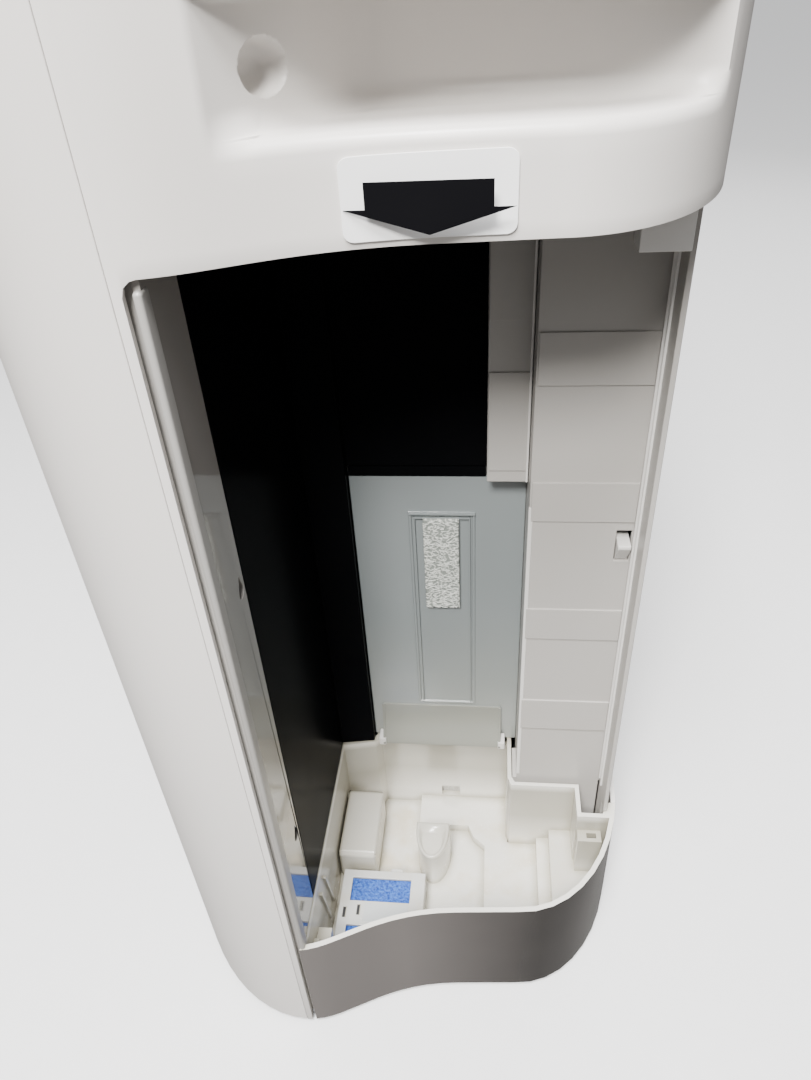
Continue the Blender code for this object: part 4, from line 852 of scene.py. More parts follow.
def run_tree(thing, tree, **values):
    """Applies a geometry-nodes tree with its inputs set by name."""
    modifier = thing.modifiers.new(tree.name, "NODES")
    modifier.node_group = tree
    sockets = {i.name: i.identifier for i in tree.interface.items_tree if i.in_out == "INPUT"}
    for label, value in values.items():
        modifier[sockets[label.replace("_", " ")]] = value
    return settle(thing)


def bars(name, boxes, finish, radius):
    """Rounded boxes, each given by its two corners, as one mesh."""
    bm = bmesh.new()
    size = bm.verts.layers.float_vector.new("size")
    for low, high in boxes:
        low, high = Vector(low) * MM, Vector(high) * MM
        vertex = bm.verts.new((low + high) / 2)
        vertex[size] = high - low
    thing = run_tree(linked(name, bm), BAR_TREE, Finish=finish)
    return soften(thing, radius, 2)


BAR_TREE = make_bar_tree()
print("bar tree:", len(BAR_TREE.nodes), "nodes")

# %% [markdown]
# ### Side panels
#
# A side panel follows a rule: in plan it is an S-curve that runs into a round rear corner, and in
# section it is a plain wall, except where the hand grip scoops it out. So it is lofted. Each
# station along the plan gets the same rows; in the grip the rows turn in over a rounded lip,
# across the floor, up a cove and along the back wall. Where the grip has no depth the rows close
# up on the wall, so lip and cove fade out by themselves, as they do on the real moulding.
#
# The tank side differs in three ways. Its wall stops at the upper edge of the opening, apart from
# a narrow strip along the seam, with a round corner between them. Its grip has an oval dimple for
# a fingertip in the slanted front wall. And a glossy reveal closes the front side of the bay.

# %% Plan of a side panel


def between(a, b, t):
    """A value part of the way from a to b."""
    return a + (b - a) * t


def even_spaced(points, spacing_at):
    """Points along a line, thinned to a spacing that depends on Y."""
    kept = [points[0]]
    for q in points[1:-1]:
        if (q - kept[-1]).length >= spacing_at(q.y):
            kept.append(q)
    return kept + [points[-1]]


def plan_spacing(y):
    """Fine stations across the dimple, fair ones in the slanted wall, and coarse ones past it."""
    if -1.5 * MM < y < 10.5 * MM:
        return 0.3 * MM
    return MM if -9 * MM < y < 25 * MM else 2 * MM


CURVE_STEPS = 600


def side_plan(start_y, end_x):
    """Plan points of the tank side, from near the front seam to the flat back."""
    ends = [Vector(p) * MM for p in ((185, -40.5), (185, -15.5), (161.05, 0.15), (157.5, 50))]
    points = []
    for i in range(CURVE_STEPS + 1):
        t = i / CURVE_STEPS
        a, b, c = (ends[k].lerp(ends[k + 1], t) for k in range(3))
        points.append(a.lerp(b, t).lerp(b.lerp(c, t), t))
    points += [Vector((between(157.5, 155, t), between(50, 85, t))) * MM
               for t in (k / 16 for k in range(1, 17))]
    points += [Vector((64 + 91 * cos(radians(a)), 85 + 63 * sin(radians(a)))) * MM
               for a in range(1, 91)]
    points = even_spaced(points, plan_spacing)
    points += [Vector((end_x, 148 * MM))]
    return [q for q in points if q.y > start_y + 0.3 * MM]


def soft_max(a, b, reach):
    """The larger of two values, rounded off where they are close."""
    h = max(reach - abs(a - b), 0) / reach
    return max(a, b) + h * h * reach / 4


def grip_depth(x, y):
    """How far the hand grip goes in from a point of the plan."""
    slanted = 174 * MM - (y + 8 * MM) * 52 / 34
    back = soft_max(GRIP_BACK, slanted, 9 * MM)
    return max(0.0, x - back) if y < 134 * MM else 0.0


# %% [markdown]
# The rows of the section are told as shares: of the lip, of the way in and of the cove. So one
# list fits every station, whether its grip is deep, shallow or absent.

# %% Section of a side panel
LIP, COVE, FLOOR_RISE = 4.5 * MM, 7 * MM, 0.6 * MM
LIP_STEPS, COVE_STEPS, BACK_STEPS = 7, 14, 56
DIMPLE_MIDDLE = Vector((155 * MM, 4.3 * MM, 502.5 * MM))
DIMPLE_LENGTH, DIMPLE_HEIGHT, DIMPLE_DEPTH = 8.8 * MM, 7.2 * MM, 8.0 * MM
SLANT = Vector((-52, 34))
PANEL_WALL = 2.4 * MM


def grip_rows():
    """Section rows from the lip up: part of lip depth, part of the way in, part of cove, height."""
    rows = []
    for k in range(LIP_STEPS + 1):
        a = radians(90 * k / LIP_STEPS)
        rows.append((1 - cos(a), 0, 0, GRIP_FLOOR - LIP * (1 - sin(a))))
    rows += [(1, t, -t, GRIP_FLOOR + FLOOR_RISE * t) for t in (0.25, 0.5, 0.75, 1.0)]
    for k in range(1, COVE_STEPS + 1):
        a = radians(90 * k / COVE_STEPS)
        rows.append((1, 1, sin(a) - 1, GRIP_FLOOR + FLOOR_RISE + COVE * (1 - cos(a))))
    foot, head = GRIP_FLOOR + FLOOR_RISE + COVE, GRIP_CEILING - 2 * MM
    rows += [(1, 1, 0, between(foot, head, k / BACK_STEPS)) for k in range(1, BACK_STEPS + 1)]
    rows.append((1, 1, -0.09, GRIP_CEILING - 0.5 * MM))
    rows.append((1, 1, -0.25, GRIP_CEILING))
    return rows


def inward_by(row, depth):
    """Distance in from the wall for a section row where the grip has a depth."""
    lip, way, cove, z = row
    share = min(1.0, depth / (LIP + COVE))
    floor = max(0.0, depth - (LIP + COVE) * share)
    if way == 0:
        inset = lip * LIP * share
    elif cove < 0 and way < 1:
        inset = LIP * share + floor * way
    else:
        inset = depth + cove * COVE * share
    if share == 1 or z > GRIP_CEILING - MM:
        return inset
    rise = min(1.0, (z - GRIP_FLOOR + LIP) / (LIP + COVE + FLOOR_RISE))
    gentle = depth * rise * rise * (3 - 2 * rise)
    return between(gentle, inset, share ** 3)


def dimple(x, y, z):
    """Depth of the oval finger dimple at a point of the grip's slanted front wall."""
    away = Vector((x, y, z)) - DIMPLE_MIDDLE
    sideways = (away.x * SLANT.x + away.y * SLANT.y) / SLANT.length
    reach = ((sideways / DIMPLE_LENGTH) ** 2 + (away.z / DIMPLE_HEIGHT) ** 2) ** 0.5
    return DIMPLE_DEPTH * max(0.0, 1 - reach ** 4)


# %% [markdown]
# The panel is thin, so the loft is only its outer skin. A Solidify modifier gives it its wall
# inwards, and the rims get a small radius. The far side is the same loft, mirrored.

# %% Loft of a side panel


def thick_shell(name, bm, thickness):
    """Gives an open skin its wall, inwards, and softens its rims."""
    shell = linked(name, bm)
    wall = shell.modifiers.new("wall", "SOLIDIFY")
    wall.thickness = thickness
    wall.offset = -1
    rims = shell.modifiers.new("rims", "BEVEL")
    rims.width = 0.5 * MM
    rims.segments = 3
    rims.limit_method = "ANGLE"
    rims.angle_limit = radians(60)
    settle(shell)
    return smooth(shell, 45)


def make_side(name, node, opening):
    """One side panel, lofted. With an opening, it is the tank side; else it is mirrored."""
    low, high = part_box(node)
    seam_y = low.y
    top = high.z
    end_x = low.x if opening else -high.x
    plan = [Vector((HALF_WIDTH, seam_y))]
    if opening:
        plan.append(Vector((HALF_WIDTH, seam_y + 1.6 * MM)))
        plan.append(Vector((HALF_WIDTH - 0.02 * MM, GROOVE_Y[0])))
    plan += side_plan(plan[-1].y, end_x)
    corner = 5 * MM
    rows = grip_rows()
    bm = bmesh.new()
    columns = []
    for q in plan:
        depth = grip_depth(q.x, q.y)
        foot = low.z
        if opening:
            over = min(1.0, max(0.0, (GROOVE_Y[0] + corner - q.y) / corner))
            foot = OPENING_TOP - corner * (1 - (1 - over ** 2) ** 0.5)
        start = rows[0][3]
        column = [Vector((q.x, q.y, between(foot, start, t))) for t in (0, 0.2, 0.5, 0.8)]
        for row in rows:
            inset = inward_by(row, depth)
            point = Vector((q.x - inset, q.y, row[3]))
            if opening and depth > 0 and row[1] == 1 and q.y < 26 * MM:
                push = dimple(point.x, point.y, point.z)
                point -= push * Vector((SLANT.y, -SLANT.x, 0)).normalized()
            column.append(point)
        lid = GRIP_CEILING
        column += [Vector((q.x - share * min(depth, 1 * MM), q.y, lid + rise * MM))
                   for share, rise in ((1.0, 0), (0.3, 0.3), (0, 1.0))]
        column += [Vector((q.x, q.y, between(lid + 1 * MM, top, t))) for t in (0.3, 0.65, 1)]
        columns.append([bm.verts.new(v) for v in column])
    skin_between(bm, columns)
    if opening:
        strip = []
        for column in columns[:3]:
            x, y, z = column[0].co
            below = [bm.verts.new((x, y, between(low.z, z, t))) for t in (0, 0.33, 0.67)]
            strip.append(below + [column[0]])
        skin_between(bm, strip)
    bmesh.ops.remove_doubles(bm, verts=bm.verts, dist=0.001 * MM)
    if not opening:
        for vertex in bm.verts:
            vertex.co.x *= -1
        bmesh.ops.reverse_faces(bm, faces=bm.faces)
    bm.normal_update()
    return thick_shell(name, bm, PANEL_WALL)


side_right = make_side("side_panel_tank_side", "side_panel_right", True)
finished(side_right, "chassis", "casing", CASING, "side_panel_right")
side_left = make_side("side_panel_far_side", "side_panel_left", False)
finished(side_left, "chassis", "casing", CASING, "side_panel_left")
print("side panels:", len(side_right.data.polygons), len(side_left.data.polygons), "faces")

# %% [markdown]
# The reveal is a thin glossy plate that closes the front side of the bay. Water that drips on it
# drains through two holes, which are round below and pointed above.

# %% Reveal with its drain holes


def teardrop(name, x, z):
    """A drain hole, round below and pointed above."""
    outline = arc((x, z), 2.9 * MM, 150, 390, 14) + [(x, z + 7.6 * MM)]
    return prism(name, outline, REVEAL_Y - 3.2 * MM, REVEAL_Y + 1 * MM, "Y")


reveal = slab("reveal", (154 * MM, REVEAL_Y - 2.4 * MM, tray_high.z + 0.3 * MM),
              (182 * MM, REVEAL_Y, 470 * MM))
carve(reveal, "DIFFERENCE", teardrop("hole_high", 158.5 * MM, 322 * MM),
      teardrop("hole_low", 158.5 * MM, 156 * MM))
soften(reveal, 0.4 * MM, 3)
finished(reveal, "chassis", "casing", REVEAL_GLOSS)
print("reveal:", len(reveal.data.polygons), "faces")

# %% [markdown]
# The bead is a slim upright rib with a rounded upper end. It is lofted: one section with round
# corners repeated up the height, and shrunk along a quarter circle at the top.

# %% Bead and channel of the opening


def make_bead():
    """Upright rib with round corners that stands in the front of the opening."""
    half = (BEAD_Y[1] - BEAD_Y[0]) / 2
    middle = sum(BEAD_Y) / 2
    base, face = 178.2 * MM, 184.1 * MM
    low, high = tray_high.z + 0.5 * MM, 452.5 * MM
    fillet = 1.1 * MM
    section = [(base, -half)]
    section += arc((face - fillet, -half + fillet), fillet, -90, 0, 4)
    section += arc((face - fillet, half - fillet), fillet, 0, 90, 4)
    section += [(base, half)]
    rings = [(low, 1.0), ((low + high) / 2, 1.0), (high - half, 1.0)]
    rings += [(high - half + half * sin(t), max(cos(t), 0.1)) for t in
              (radians(15 * i) for i in range(1, 7))]
    return lofted("opening_bead", [
        [(between(base, x, between(1, size, 0.3)), middle + y * size, z) for x, y in section]
        for z, size in rings])


bead = finished(make_bead(), "chassis", "casing", BEAD_PALE)
channel = slab("groove_floor", (180.0 * MM, -39.6 * MM, 6 * MM), (180.8 * MM, -35.2 * MM, 462 * MM))
soften(channel, 0.15 * MM)
finished(channel, "chassis", "casing", INNER_WALL)
print("bead height", round(bead.dimensions.z, 3))

# %% [markdown]
# ### The other mouldings
#
# The rest of the visible solids only need their own edge radius and finish, so a table lists
# them and one loop makes them.

# %% Softened solids


TRAY_EDGE, TRAY_RIM_EDGE = 0.7 * MM, 0.95 * MM


def tray_radius(middle):
    """The tray's rim is a little rounder than its other edges."""
    return TRAY_RIM_EDGE if middle.z > 80 * MM else TRAY_EDGE


SOFTENED = (
    # solid, body, slot, finish, radius, segments
    ("front_panel", "chassis", "casing", CASING, 0.4 * MM, 2),
    ("rear_panel", "chassis", "casing", CASING, 0.4 * MM, 2),
    ("top_cover", "chassis", "casing", CASING, 0.6 * MM, 3),
    ("filter_cover", "intake_cover", "casing", CASING, 0.5 * MM, 2),
    ("bay_corner_block", "chassis", "pale_liner", INNER_WALL, 0.5 * MM, 2),
    ("bay_liner_pale", "chassis", "pale_liner", INNER_WALL, 0.5 * MM, 2),
    ("bay_liner_dark", "chassis", "dark_liner", BLACK_GLOSS, 0.8 * MM, 3),
    ("bay_bracket", "chassis", "small_pale", SMALL_PALE, 0.5 * MM, 2),
    ("tank_latch", "latch", "small_pale", SMALL_PALE, 0.5 * MM, 3),
    ("splash_cover", "chassis", "splash", SPLASH_GREY, 0.45 * MM, 2),
    ("float_block", "float", "tray_body", TRAY_WHITE, 1.9 * MM, 4),
    ("cartridge_case", "drain_tray_body", "tray_body", CASE_PALE, 0.3 * MM, 2),
    ("louver", "louver_flap", "casing", CASING, 0.35 * MM, 2),
    ("control_panel", "chassis", "casing", PANEL, 0.25 * MM, 2),
    ("display_lens", "chassis", "lens", LENS, 0.2 * MM, 2),
)


def note_slots():
    """Material slot of each solid, from the record."""
    return {p["node"]: p.get("material_slot") for p in frame["record"]["subparts"]}


SLOTS = note_slots()
mouldings = {}
for node, body, slot, finish, radius, segments in SOFTENED:
    mouldings[node] = soften(copy_of(node, node + "_soft"), radius, segments)
    finished(mouldings[node], body, SLOTS[node], finish, node)
for key in ("power", "mode", "speed", "timer", "lock"):
    node = "button_" + key
    mouldings[node] = soften(copy_of(node, node + "_soft"), 0.4 * MM, 3)
    finished(mouldings[node], key + "_key", SLOTS[node], KEYS, node)
print("softened:", len(mouldings))

# %% [markdown]
# The keys carry plain printed marks: a ring with a stroke, a drop, rising bars for the fan's
# speed, a clock and a padlock. The display shows two bar digits. They are all thin bars, a tenth
# of a millimetre proud, so they stay crisp. Each mark rides on its own key.

# %% Key marks and display digits
MARKS = {
    # key: bars in the key's own plane, each x0, y0, x1, y1 from the middle of the key
    "power": ((-0.3, 0.2, 0.3, 2.6), (-2.2, -1.2, -1.6, 1.4), (1.6, -1.2, 2.2, 1.4),
              (-1.6, -2.0, 1.6, -1.4)),
    "mode": ((-1.9, -1.9, 1.9, -1.3), (-2.4, -1.2, -1.8, 0.4), (1.8, -1.2, 2.4, 0.4),
             (-1.4, 0.8, -0.8, 1.6), (0.8, 0.8, 1.4, 1.6), (-0.3, 1.8, 0.3, 2.6)),
    "speed": ((-3.0, -2.0, -2.0, -1.0), (-1.5, -2.0, -0.5, 0.0), (0.0, -2.0, 1.0, 1.0),
              (1.5, -2.0, 2.5, 2.2)),
    "timer": ((-2.3, -1.8, -1.7, 1.8), (1.7, -1.8, 2.3, 1.8), (-1.7, 1.8, 1.7, 2.4),
              (-1.7, -2.4, 1.7, -1.8), (-0.3, -0.3, 0.3, 1.3), (0.4, -0.3, 1.2, 0.3)),
    "lock": ((-2.0, -2.2, 2.0, 0.4), (-1.5, 0.5, -0.9, 1.9), (0.9, 0.5, 1.5, 1.9),
             (-1.5, 2.0, 1.5, 2.6)),
}
DIGIT_BARS = ((0, 0, 4, 0.8), (0, 4, 4, 4.8), (0, 8, 4, 8.8), (-1, 0.6, -0.2, 4.2),
              (4.2, 0.6, 5, 4.2), (-1, 4.6, -0.2, 8.2), (4.2, 4.6, 5, 8.2))
SHOWN = ((-9, (0, 1, 2, 3, 4, 5)), (2, (0, 1, 2, 4, 5)))


def flat_bars(name, node, shapes, finish):
    """Thin bars on the upper face of a solid, given from the middle of its box."""
    low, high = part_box(node)
    x, y = (low.x + high.x) / 2 / MM, (low.y + high.y) / 2 / MM
    z = high.z / MM
    boxes = [((x + a, y + b, z - 0.1), (x + c, y + d, z + 0.1)) for a, b, c, d in shapes]
    return bars(name, boxes, finish, 0.05 * MM)


for key, shapes in MARKS.items():
    finished(flat_bars("mark_" + key, "button_" + key, shapes, LABEL_BLACK), key + "_key",
             SLOTS["button_" + key], None)
digits = [(x + a, b - 4.4, x + c, d - 4.4) for x, lit in SHOWN
          for a, b, c, d in (DIGIT_BARS[k] for k in lit)]
finished(flat_bars("display_digits", "display_lens", digits, DIGIT_GLOW), "chassis",
         SLOTS["display_lens"], None)
print("marks:", len(MARKS), "digit bars:", len(digits))

# %% [markdown]
# ### Small mouldings of the bay
#
# The pale wall carries four shallow raised bands, and the block at its corner two. The bands are
# just under a millimetre high, so all that shows is a thin bright line along each edge. Slim
# guides stand where the wall turns. Over the splash cover, two black strips are painted shade:
# they stand for the shadow in the slot there.

# %% Bands, guides and painted slot shade
BANDS = ((137, 162), (212, 234), (292, 315), (366, 391))
bands = [((63.2, 86.4, low), (64.9, 137.6, high)) for low, high in BANDS]
bands += [((44.2, 64.8, low), (45.8, 84.8, high)) for low, high in ((310, 364), (389, 469))]
guides = [((66.5, 137.2, 95), (68.0, 139.2, 455)), ((72.5, 137.4, 95), (73.6, 139.2, 455)),
          ((62.2, 85.2, 92), (64.6, 87.4, 300)), ((45.2, 83.9, 303.5), (46.4, 85.1, 469))]
skirt = [((64.3, 138.6, 12), (79.0, 140.9, 88.8)), ((40.0, 83.0, 60), (63.6, 85.8, 87.4))]
# Painted shade: two black strips darken the slot over the splash cover.
slot_shade = [((29.7, -10.3, 298.2), (32.4, 63.7, 304.2)),
          ((29.7, -10.3, 304.8), (31.2, 63.7, 307.5))]


def fit_bars(name, boxes, finish, radius, body, slot):
    """Rounded bars that ride on a body."""
    return finished(bars(name, boxes, finish, radius), body, slot, None)


fit_bars("wall_bands", bands, INNER_WALL, 0.4 * MM, "chassis", "pale_liner")
fit_bars("wall_guides", guides, SMALL_PALE, 0.45 * MM, "chassis", "pale_liner")
fit_bars("rear_skirt", skirt, INNER_WALL, 0.3 * MM, "chassis", "pale_liner")
# Painted shade in the slot over the splash cover.
fit_bars("splash_gasket", slot_shade, BLACK_GLOSS, 0.5 * MM, "chassis", "dark_liner")
print("bands:", len(bands), "guides:", len(guides))

# %% [markdown]
# The splash cover has a pocket with a double rim round the foam strip. At its foot, a thin milky
# flap leans out over the tray, stiffened by a rib at each end, with two white hooks below.

# %% Splash cover details
rim = [((32.9, 23.6, 124.4), (33.9, 24.5, 272.4)), ((32.9, 54.5, 124.4), (33.9, 55.4, 272.4)),
       ((32.9, 23.6, 271.4), (34.1, 55.4, 272.4)), ((32.9, 20.9, 274.0), (34.3, 58.1, 275.2))]
fit_bars("pocket_rim", rim, SPLASH_GREY, 0.3 * MM, "chassis", "splash")


def flap_section(thickness):
    """Section of the splash flap, X out and Z up: it leans out and hooks down at its edge."""
    path = [Vector(p) * MM for p in ((33.0, 119), (33.3, 113), (34.6, 106.5), (36.8, 101),
                                     (39.4, 96.2), (41.2, 92.4), (41.9, 89.4))]
    behind = []
    for i, point in enumerate(path):
        way = path[min(i + 1, len(path) - 1)] - path[max(i - 1, 0)]
        across = Vector((way.y, -way.x)).normalized()
        behind.append(point + across * thickness)
    return [tuple(v) for v in path + behind[::-1]]


FLAP_PARTS = (
    # name, thickness, near end and far end, in mm
    ("splash_flap", 1.2, -3.5, 74.5),
    ("flap_ribs", -1.1, -4.2, -2.6),
    ("flap_far_rib", -1.1, 73.6, 75.2),
)
for name, thickness, near, far in FLAP_PARTS:
    flap = prism(name, flap_section(thickness * MM), near * MM, far * MM, "Y")
    finished(soften(flap, 0.3 * MM), "chassis", "splash", FLAP_MILKY)
hooks = [((33.4, -7.0, 88.4), (42.6, -2.4, 94.5)), ((33.4, 73.4, 88.4), (42.6, 78.0, 94.5))]
fit_bars("flap_hooks", hooks, SMALL_PALE, 0.7 * MM, "chassis", "splash")
print("flap height", round(flap.dimensions.z, 4))

# %% [markdown]
# ### Foam strip and water sponge
#
# The foam strip is pressed with a wormy crackle. The sponge has open pores. Neither hangs or
# drapes, so no cloth is simulated: each is a closed block with one face on a fine grid, and the
# grid is moved by the pattern. The crackle is a ridge wherever a smooth noise crosses zero, which
# gives winding lines of even width. The pores are small bowls round scattered points.

# %% Relief blocks


def relief_block(name, low, high, step, height, axis):
    """A closed block whose upper face along an axis is a grid, moved out by a function."""
    sunk_rim, rim_width = 0.7 * MM, 0.9 * MM
    order = {"X": (1, 2, 0), "Z": (0, 1, 2)}[axis]
    (u0, u1), (v0, v1), (w0, w1) = ((low[k], high[k]) for k in order)
    columns, rows = round((u1 - u0) / step), round((v1 - v0) / step)
    bm = bmesh.new()
    relief = bm.verts.layers.float.new("relief")

    def vertex(u, v, w, mark=0.5):
        """A marked vertex, from its places across the axis and along it."""
        place = [0, 0, 0]
        for k, value in zip(order, (u, v, w)):
            place[k] = value
        made = bm.verts.new(place)
        made[relief] = mark
        return made

    grid = []
    for i in range(columns + 1):
        u = between(u0, u1, i / columns)
        line = []
        for j in range(rows + 1):
            v = between(v0, v1, j / rows)
            inner = min(u - u0, u1 - u, v - v0, v1 - v)
            fall = sunk_rim * max(0.0, 1 - inner / rim_width) ** 2
            mark, out = height(u, v)
            line.append(vertex(u, v, w1 + out - fall, mark))
        grid.append(line)
    skin_between(bm, grid)
    ring = grid[0][:-1] + [line[-1] for line in grid[:-1]]
    ring += grid[-1][:0:-1] + [line[0] for line in grid[:0:-1]]
    foot = []
    for top_vertex in ring:
        u, v = top_vertex.co[order[0]], top_vertex.co[order[1]]
        foot.append(vertex(u, v, w0))
    count = len(ring)
    for i in range(count):
        j = (i + 1) % count
        bm.faces.new((ring[i], ring[j], foot[j], foot[i]))
    bm.faces.new(foot)
    bmesh.ops.recalc_face_normals(bm, faces=bm.faces)
    return smooth(linked(name, bm), 60)


def crackle(y, z):
    """Mark and height of the pressed wormy lines."""
    wave = waves.noise(Vector((y * 460, z * 680, 0.3)))
    wave += 0.30 * waves.noise(Vector((y * 900, z * 1100, 2)))
    ridge = max(0.0, 1 - abs(wave) * 3.2)
    return ridge, 0.60 * MM * (ridge - 1)


def pores(x, y):
    """Mark and height of the open pores."""
    near = waves.voronoi(Vector((x, y, 0.7)) * 640)[0][0]
    fine = waves.noise(Vector((x, y, 0)) * 1500)
    hollow = max(0.0, 1 - near * 1.9)
    return 1 - hollow, -0.9 * MM * hollow + 0.10 * MM * fine


foam = relief_block("foam_strip_pressed", foam_low, foam_high, 0.28 * MM, crackle, "X")
finished(foam, "chassis", SLOTS["foam_strip"], FOAM, "foam_strip")
sponge_top = Vector((sponge_high.x, sponge_high.y, sponge_high.z - 0.3 * MM))
sponge = relief_block("cartridge_sponge_porous", sponge_low, sponge_top, 0.4 * MM, pores, "Z")
finished(sponge, "drain_tray_body", SLOTS["cartridge_sponge"], SPONGE, "cartridge_sponge")
print("foam faces:", len(foam.data.polygons), "sponge faces:", len(sponge.data.polygons))

# %% [markdown]
# Most of what is inside the casing is never seen from outside, so those solids keep their shape
# and only get a finish. Each goes by what the real piece is made of.

# %% Solids that keep their shape
KEPT = (
    # finish, the solids that get it
    (STRUCTURE, ("base_pan", "bay_bulkhead", "bay_ceiling", "wheel_frame")),
    (ALUMINIUM, ("condenser",)),
    (BOARD, ("control_board", "power_board")),
    (RUBBER, ("cord_gland", "foot_front_left", "foot_front_right", "foot_rear_left",
              "foot_rear_right")),
    (ZEOLITE, ("desiccant_wheel",)),
    (DARK_PLASTIC, ("fan_cover", "fan_housing", "fan_wheel", "louver_motor", "outlet_duct",
                    "prefilter")),
    (STEEL, ("fan_motor", "fan_shaft", "heater_box", "wheel_motor")),
    (FILTER, ("hepa_filter", "wick_filter")),
    (SMALL_PALE, ("wheel_pinion",)),
)
for finish, nodes in KEPT:
    for node in nodes:
        solid = frame["nodes"][node]
        solid.data.materials.clear()
        solid.data.materials.append(finish)
print("kept solids:", sum(len(nodes) for _, nodes in KEPT))

# %% [markdown]
# ### Screws of the rear panel
#
# Four pan-head screws with a cross recess hold the rear panel. They are all alike, so a tree
# makes one, a short cylinder with the cross cut out of its head, and puts it on each given point.

# %% Screws


def make_screw_tree():
    """Puts a pan-head screw, pointing along Y, on every point."""
    tree, start, end = new_tree("cross_screws", "Screws", Places="Geometry", Head_Radius="Float",
                                Length="Float", Finish="Material")
    body = node_at(tree, "GeometryNodeMeshCylinder", Vertices=24, Side_Segments=1)
    tree.links.new(start.outputs["Head Radius"], body.inputs["Radius"])
    tree.links.new(start.outputs["Length"], body.inputs["Depth"])
    foot = tree.nodes.new("ShaderNodeCombineXYZ")
    feed(tree, foot.inputs["Z"], maths(tree, "MULTIPLY", start.outputs["Length"], 0.5))
    cut = tree.nodes.new("GeometryNodeMeshBoolean")
    cut.operation = "DIFFERENCE"
    tree.links.new(body.outputs["Mesh"], cut.inputs["Mesh 1"])
    wide, thin, deep = 2.9 * MM, 0.62 * MM, 1.8 * MM
    for size in ((wide, thin, deep), (thin, wide, deep)):
        blade = node_at(tree, "GeometryNodeMeshCube", Size=size)
        moved = tree.nodes.new("GeometryNodeTransform")
        tree.links.new(blade.outputs["Mesh"], moved.inputs["Geometry"])
        tree.links.new(foot.outputs["Vector"], moved.inputs["Translation"])
        tree.links.new(moved.outputs["Geometry"], cut.inputs["Mesh 2"])
    spread = node_at(tree, "GeometryNodeInstanceOnPoints", Rotation=(radians(-90), 0, 0))
    return close_tree(tree, start, end, cut, spread)


SCREW_NODES = ("screw_1", "screw_2", "screw_3", "screw_4")
screw_boxes = [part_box(node) for node in SCREW_NODES]
places = bmesh.new()
for low, high in screw_boxes:
    places.verts.new((low + high) / 2)
low, high = screw_boxes[0]
head_radius, length = (high.x - low.x) / 2, high.y - low.y
screws = run_tree(linked("rear_screws", places), make_screw_tree(), Head_Radius=head_radius,
                  Length=length, Finish=STEEL)
soften(screws, 0.12 * MM, 2)
finished(screws, "chassis", SLOTS["screw_1"], None, *SCREW_NODES)
print("screws:", len(screws.data.polygons), "faces")

# %% [markdown]
# ### Drain tray
#
# The tray's white well and taupe skin are one moulding. Its faces get one of two finishes by
# which side they are on: an outward face on the bowed front is skin, everything else is well.
# Its shortest edges are closed up first, so that the rounding has room at every corner.

# %% Tray


def two_finishes(thing, first, second, is_second):
    """Puts the second material on the faces that a test picks."""
    thing.data.materials.clear()
    thing.data.materials.append(first)
    thing.data.materials.append(second)
    for face in thing.data.polygons:
        face.material_index = int(is_second(face))


SHORTEST_EDGE = 0.6 * MM
RIM_HEIGHT = 0.6 * MM
REAR_END = 139 * MM


def on_skin(face):
    """Upright faces of the bowed front that see no other part of the tray before them."""
    if abs(face.normal.z) > 0.5 or face.center.z > tray_high.z - RIM_HEIGHT:
        return False
    if face.normal.x < 0.05 and face.center.y < REAR_END:
        return False
    return not tray.ray_cast(face.center + face.normal * 0.2 * MM, face.normal)[0]


tray = copy_of("drain_tray", "drain_tray_soft", SHORTEST_EDGE)
soften(tray, TRAY_EDGE, 3, tray_radius, True)
finished(tray, "drain_tray_body", SLOTS["drain_tray"], TRAY_WHITE, "drain_tray")
two_finishes(tray, TRAY_WHITE, TRAY_SKIN, on_skin)
print("tray faces:", len(tray.data.polygons))

# %% [markdown]
# The tray holds a valve post with a scooped cap, slanted ribs and a hook that stiffen its front
# wall, and the cartridge with a milky sheet and two dark slots.

# %% Tray and cartridge fittings


def leaning_rib(name, foot_x):
    """A slanted rib on the tray's front-side wall."""
    outline = [(foot_x, 30), (foot_x + 2.2, 30), (foot_x + 12.2, 74), (foot_x + 10, 74)]
    rib = prism(name, [(a * MM, b * MM) for a, b in outline], -33.2 * MM, -30.4 * MM, "Y")
    return finished(soften(rib, 0.4 * MM), "drain_tray_body", "tray_body", TRAY_WHITE)


def valve_cap():
    """Cap of the valve post, D-shaped in plan, with a scooped top that falls to the front."""
    back, nose, half, middle = 74 * MM, 25 * MM, 11 * MM, 30.5 * MM
    turns = [radians(a) for a in range(-90, 91, 6)]
    outline = [(back, middle - half)]
    outline += [(78 * MM + (nose - 4 * MM) * cos(a), middle + half * sin(a)) for a in turns]
    outline += [(back, middle + half)]
    centre = (88 * MM, middle)
    rings = ((1, 44.7), (1, 47.6), (0.97, 48.3), (0.90, 48.6), (0.82, 48.3), (0.74, 47.0),
             (0.58, 45.7), (0.36, 45.0), (0.14, 44.8))
    placed = []
    for size, z in rings:
        ring = []
        for x, y in outline:
            x, y = between(centre[0], x, size), between(centre[1], y, size)
            fall = 2.6 * MM * (x - back) / nose if z > 44.7 else 0
            ring.append((x, y, z * MM - fall))
        placed.append(ring)
    return lofted("valve_cap", placed)


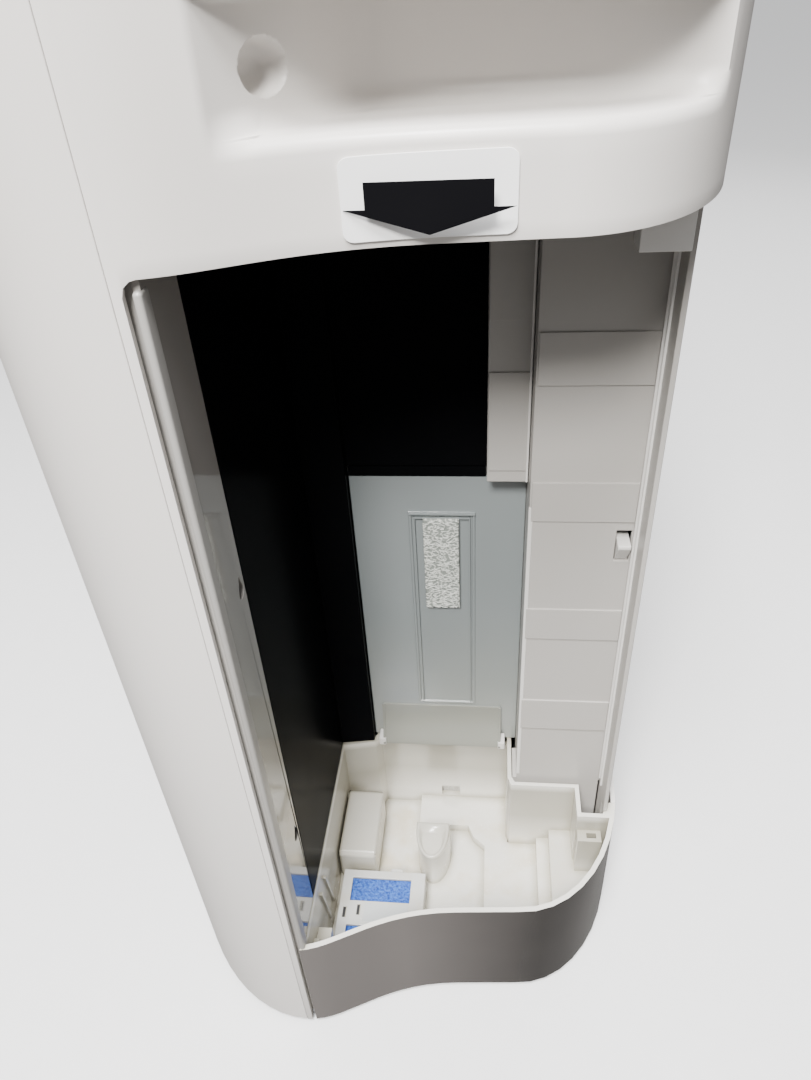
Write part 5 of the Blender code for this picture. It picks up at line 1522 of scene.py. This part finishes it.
finished(valve_cap(), "drain_tray_body", "tray_body", TRAY_WHITE)
leaning_rib("tray_rib_a", 122)
leaning_rib("tray_rib_b", 133)
TRAY_BARS = (
    # name, finish, radius in mm, boxes
    ("tray_front_hook", TRAY_WHITE, 0.5, [((166.5, -33.2, 30), (171.0, -29.0, 66)),
                                          ((160.0, -30.6, 30), (176.0, -29.0, 52))]),
    ("case_sheet", CASE_MILKY, 0.2, [((126.5, -10.5, 34.6), (138.6, 17.6, 35.15))]),
    ("case_slot_floors", DARK_PLASTIC, 0.1, [((129.6, -24.2, 33.2), (136.4, -22.4, 34.2)),
                                             ((127.6, -15.4, 33.2), (134.4, -13.6, 34.2))]),
)
for name, finish, radius, boxes in TRAY_BARS:
    fit_bars(name, boxes, finish, radius * MM, "drain_tray_body", "tray_body")
print("tray fittings:", 3 + len(TRAY_BARS))

# %% [markdown]
# ### Label
#
# A thin plate with rounded corners carries a broad arrow that points down. The words that such a
# label has are left out. The arrow is its own very thin mesh, so its edge stays crisp.

# %% Label and arrow
plate = soften(copy_of("arrow_label", "arrow_plate"), 0.15 * MM)
finished(plate, "chassis", SLOTS["arrow_label"], LABEL_WHITE, "arrow_label")
middle_y = (label_low.y + label_high.y) / 2


def arrow_outline():
    """A broad arrow in the label's plane, Y across and Z up."""
    shaft, head = 18.2 * MM, 24.4 * MM
    top, shoulder, tip = 474.5 * MM, 467.2 * MM, 460 * MM
    half = [(shaft, top), (shaft, shoulder), (head, shoulder)]
    left_half = [(-a, b) for a, b in half][::-1]
    points = half + [(0, tip)] + left_half
    return [(middle_y + a, b) for a, b in points]


arrow = prism("arrow_ink", arrow_outline(), label_high.x - 0.2 * MM, label_high.x + 0.08 * MM, "X")
finished(arrow, "chassis", SLOTS["arrow_label"], LABEL_BLACK)
print("arrow:", [round(v, 4) for v in arrow.dimensions])

# %% Floor
floor = slab("floor", (-30, -30, -10 * MM), (30, 30, 0))
floor.data.materials.append(FLOOR)
print("floor:", [round(v) for v in floor.dimensions])
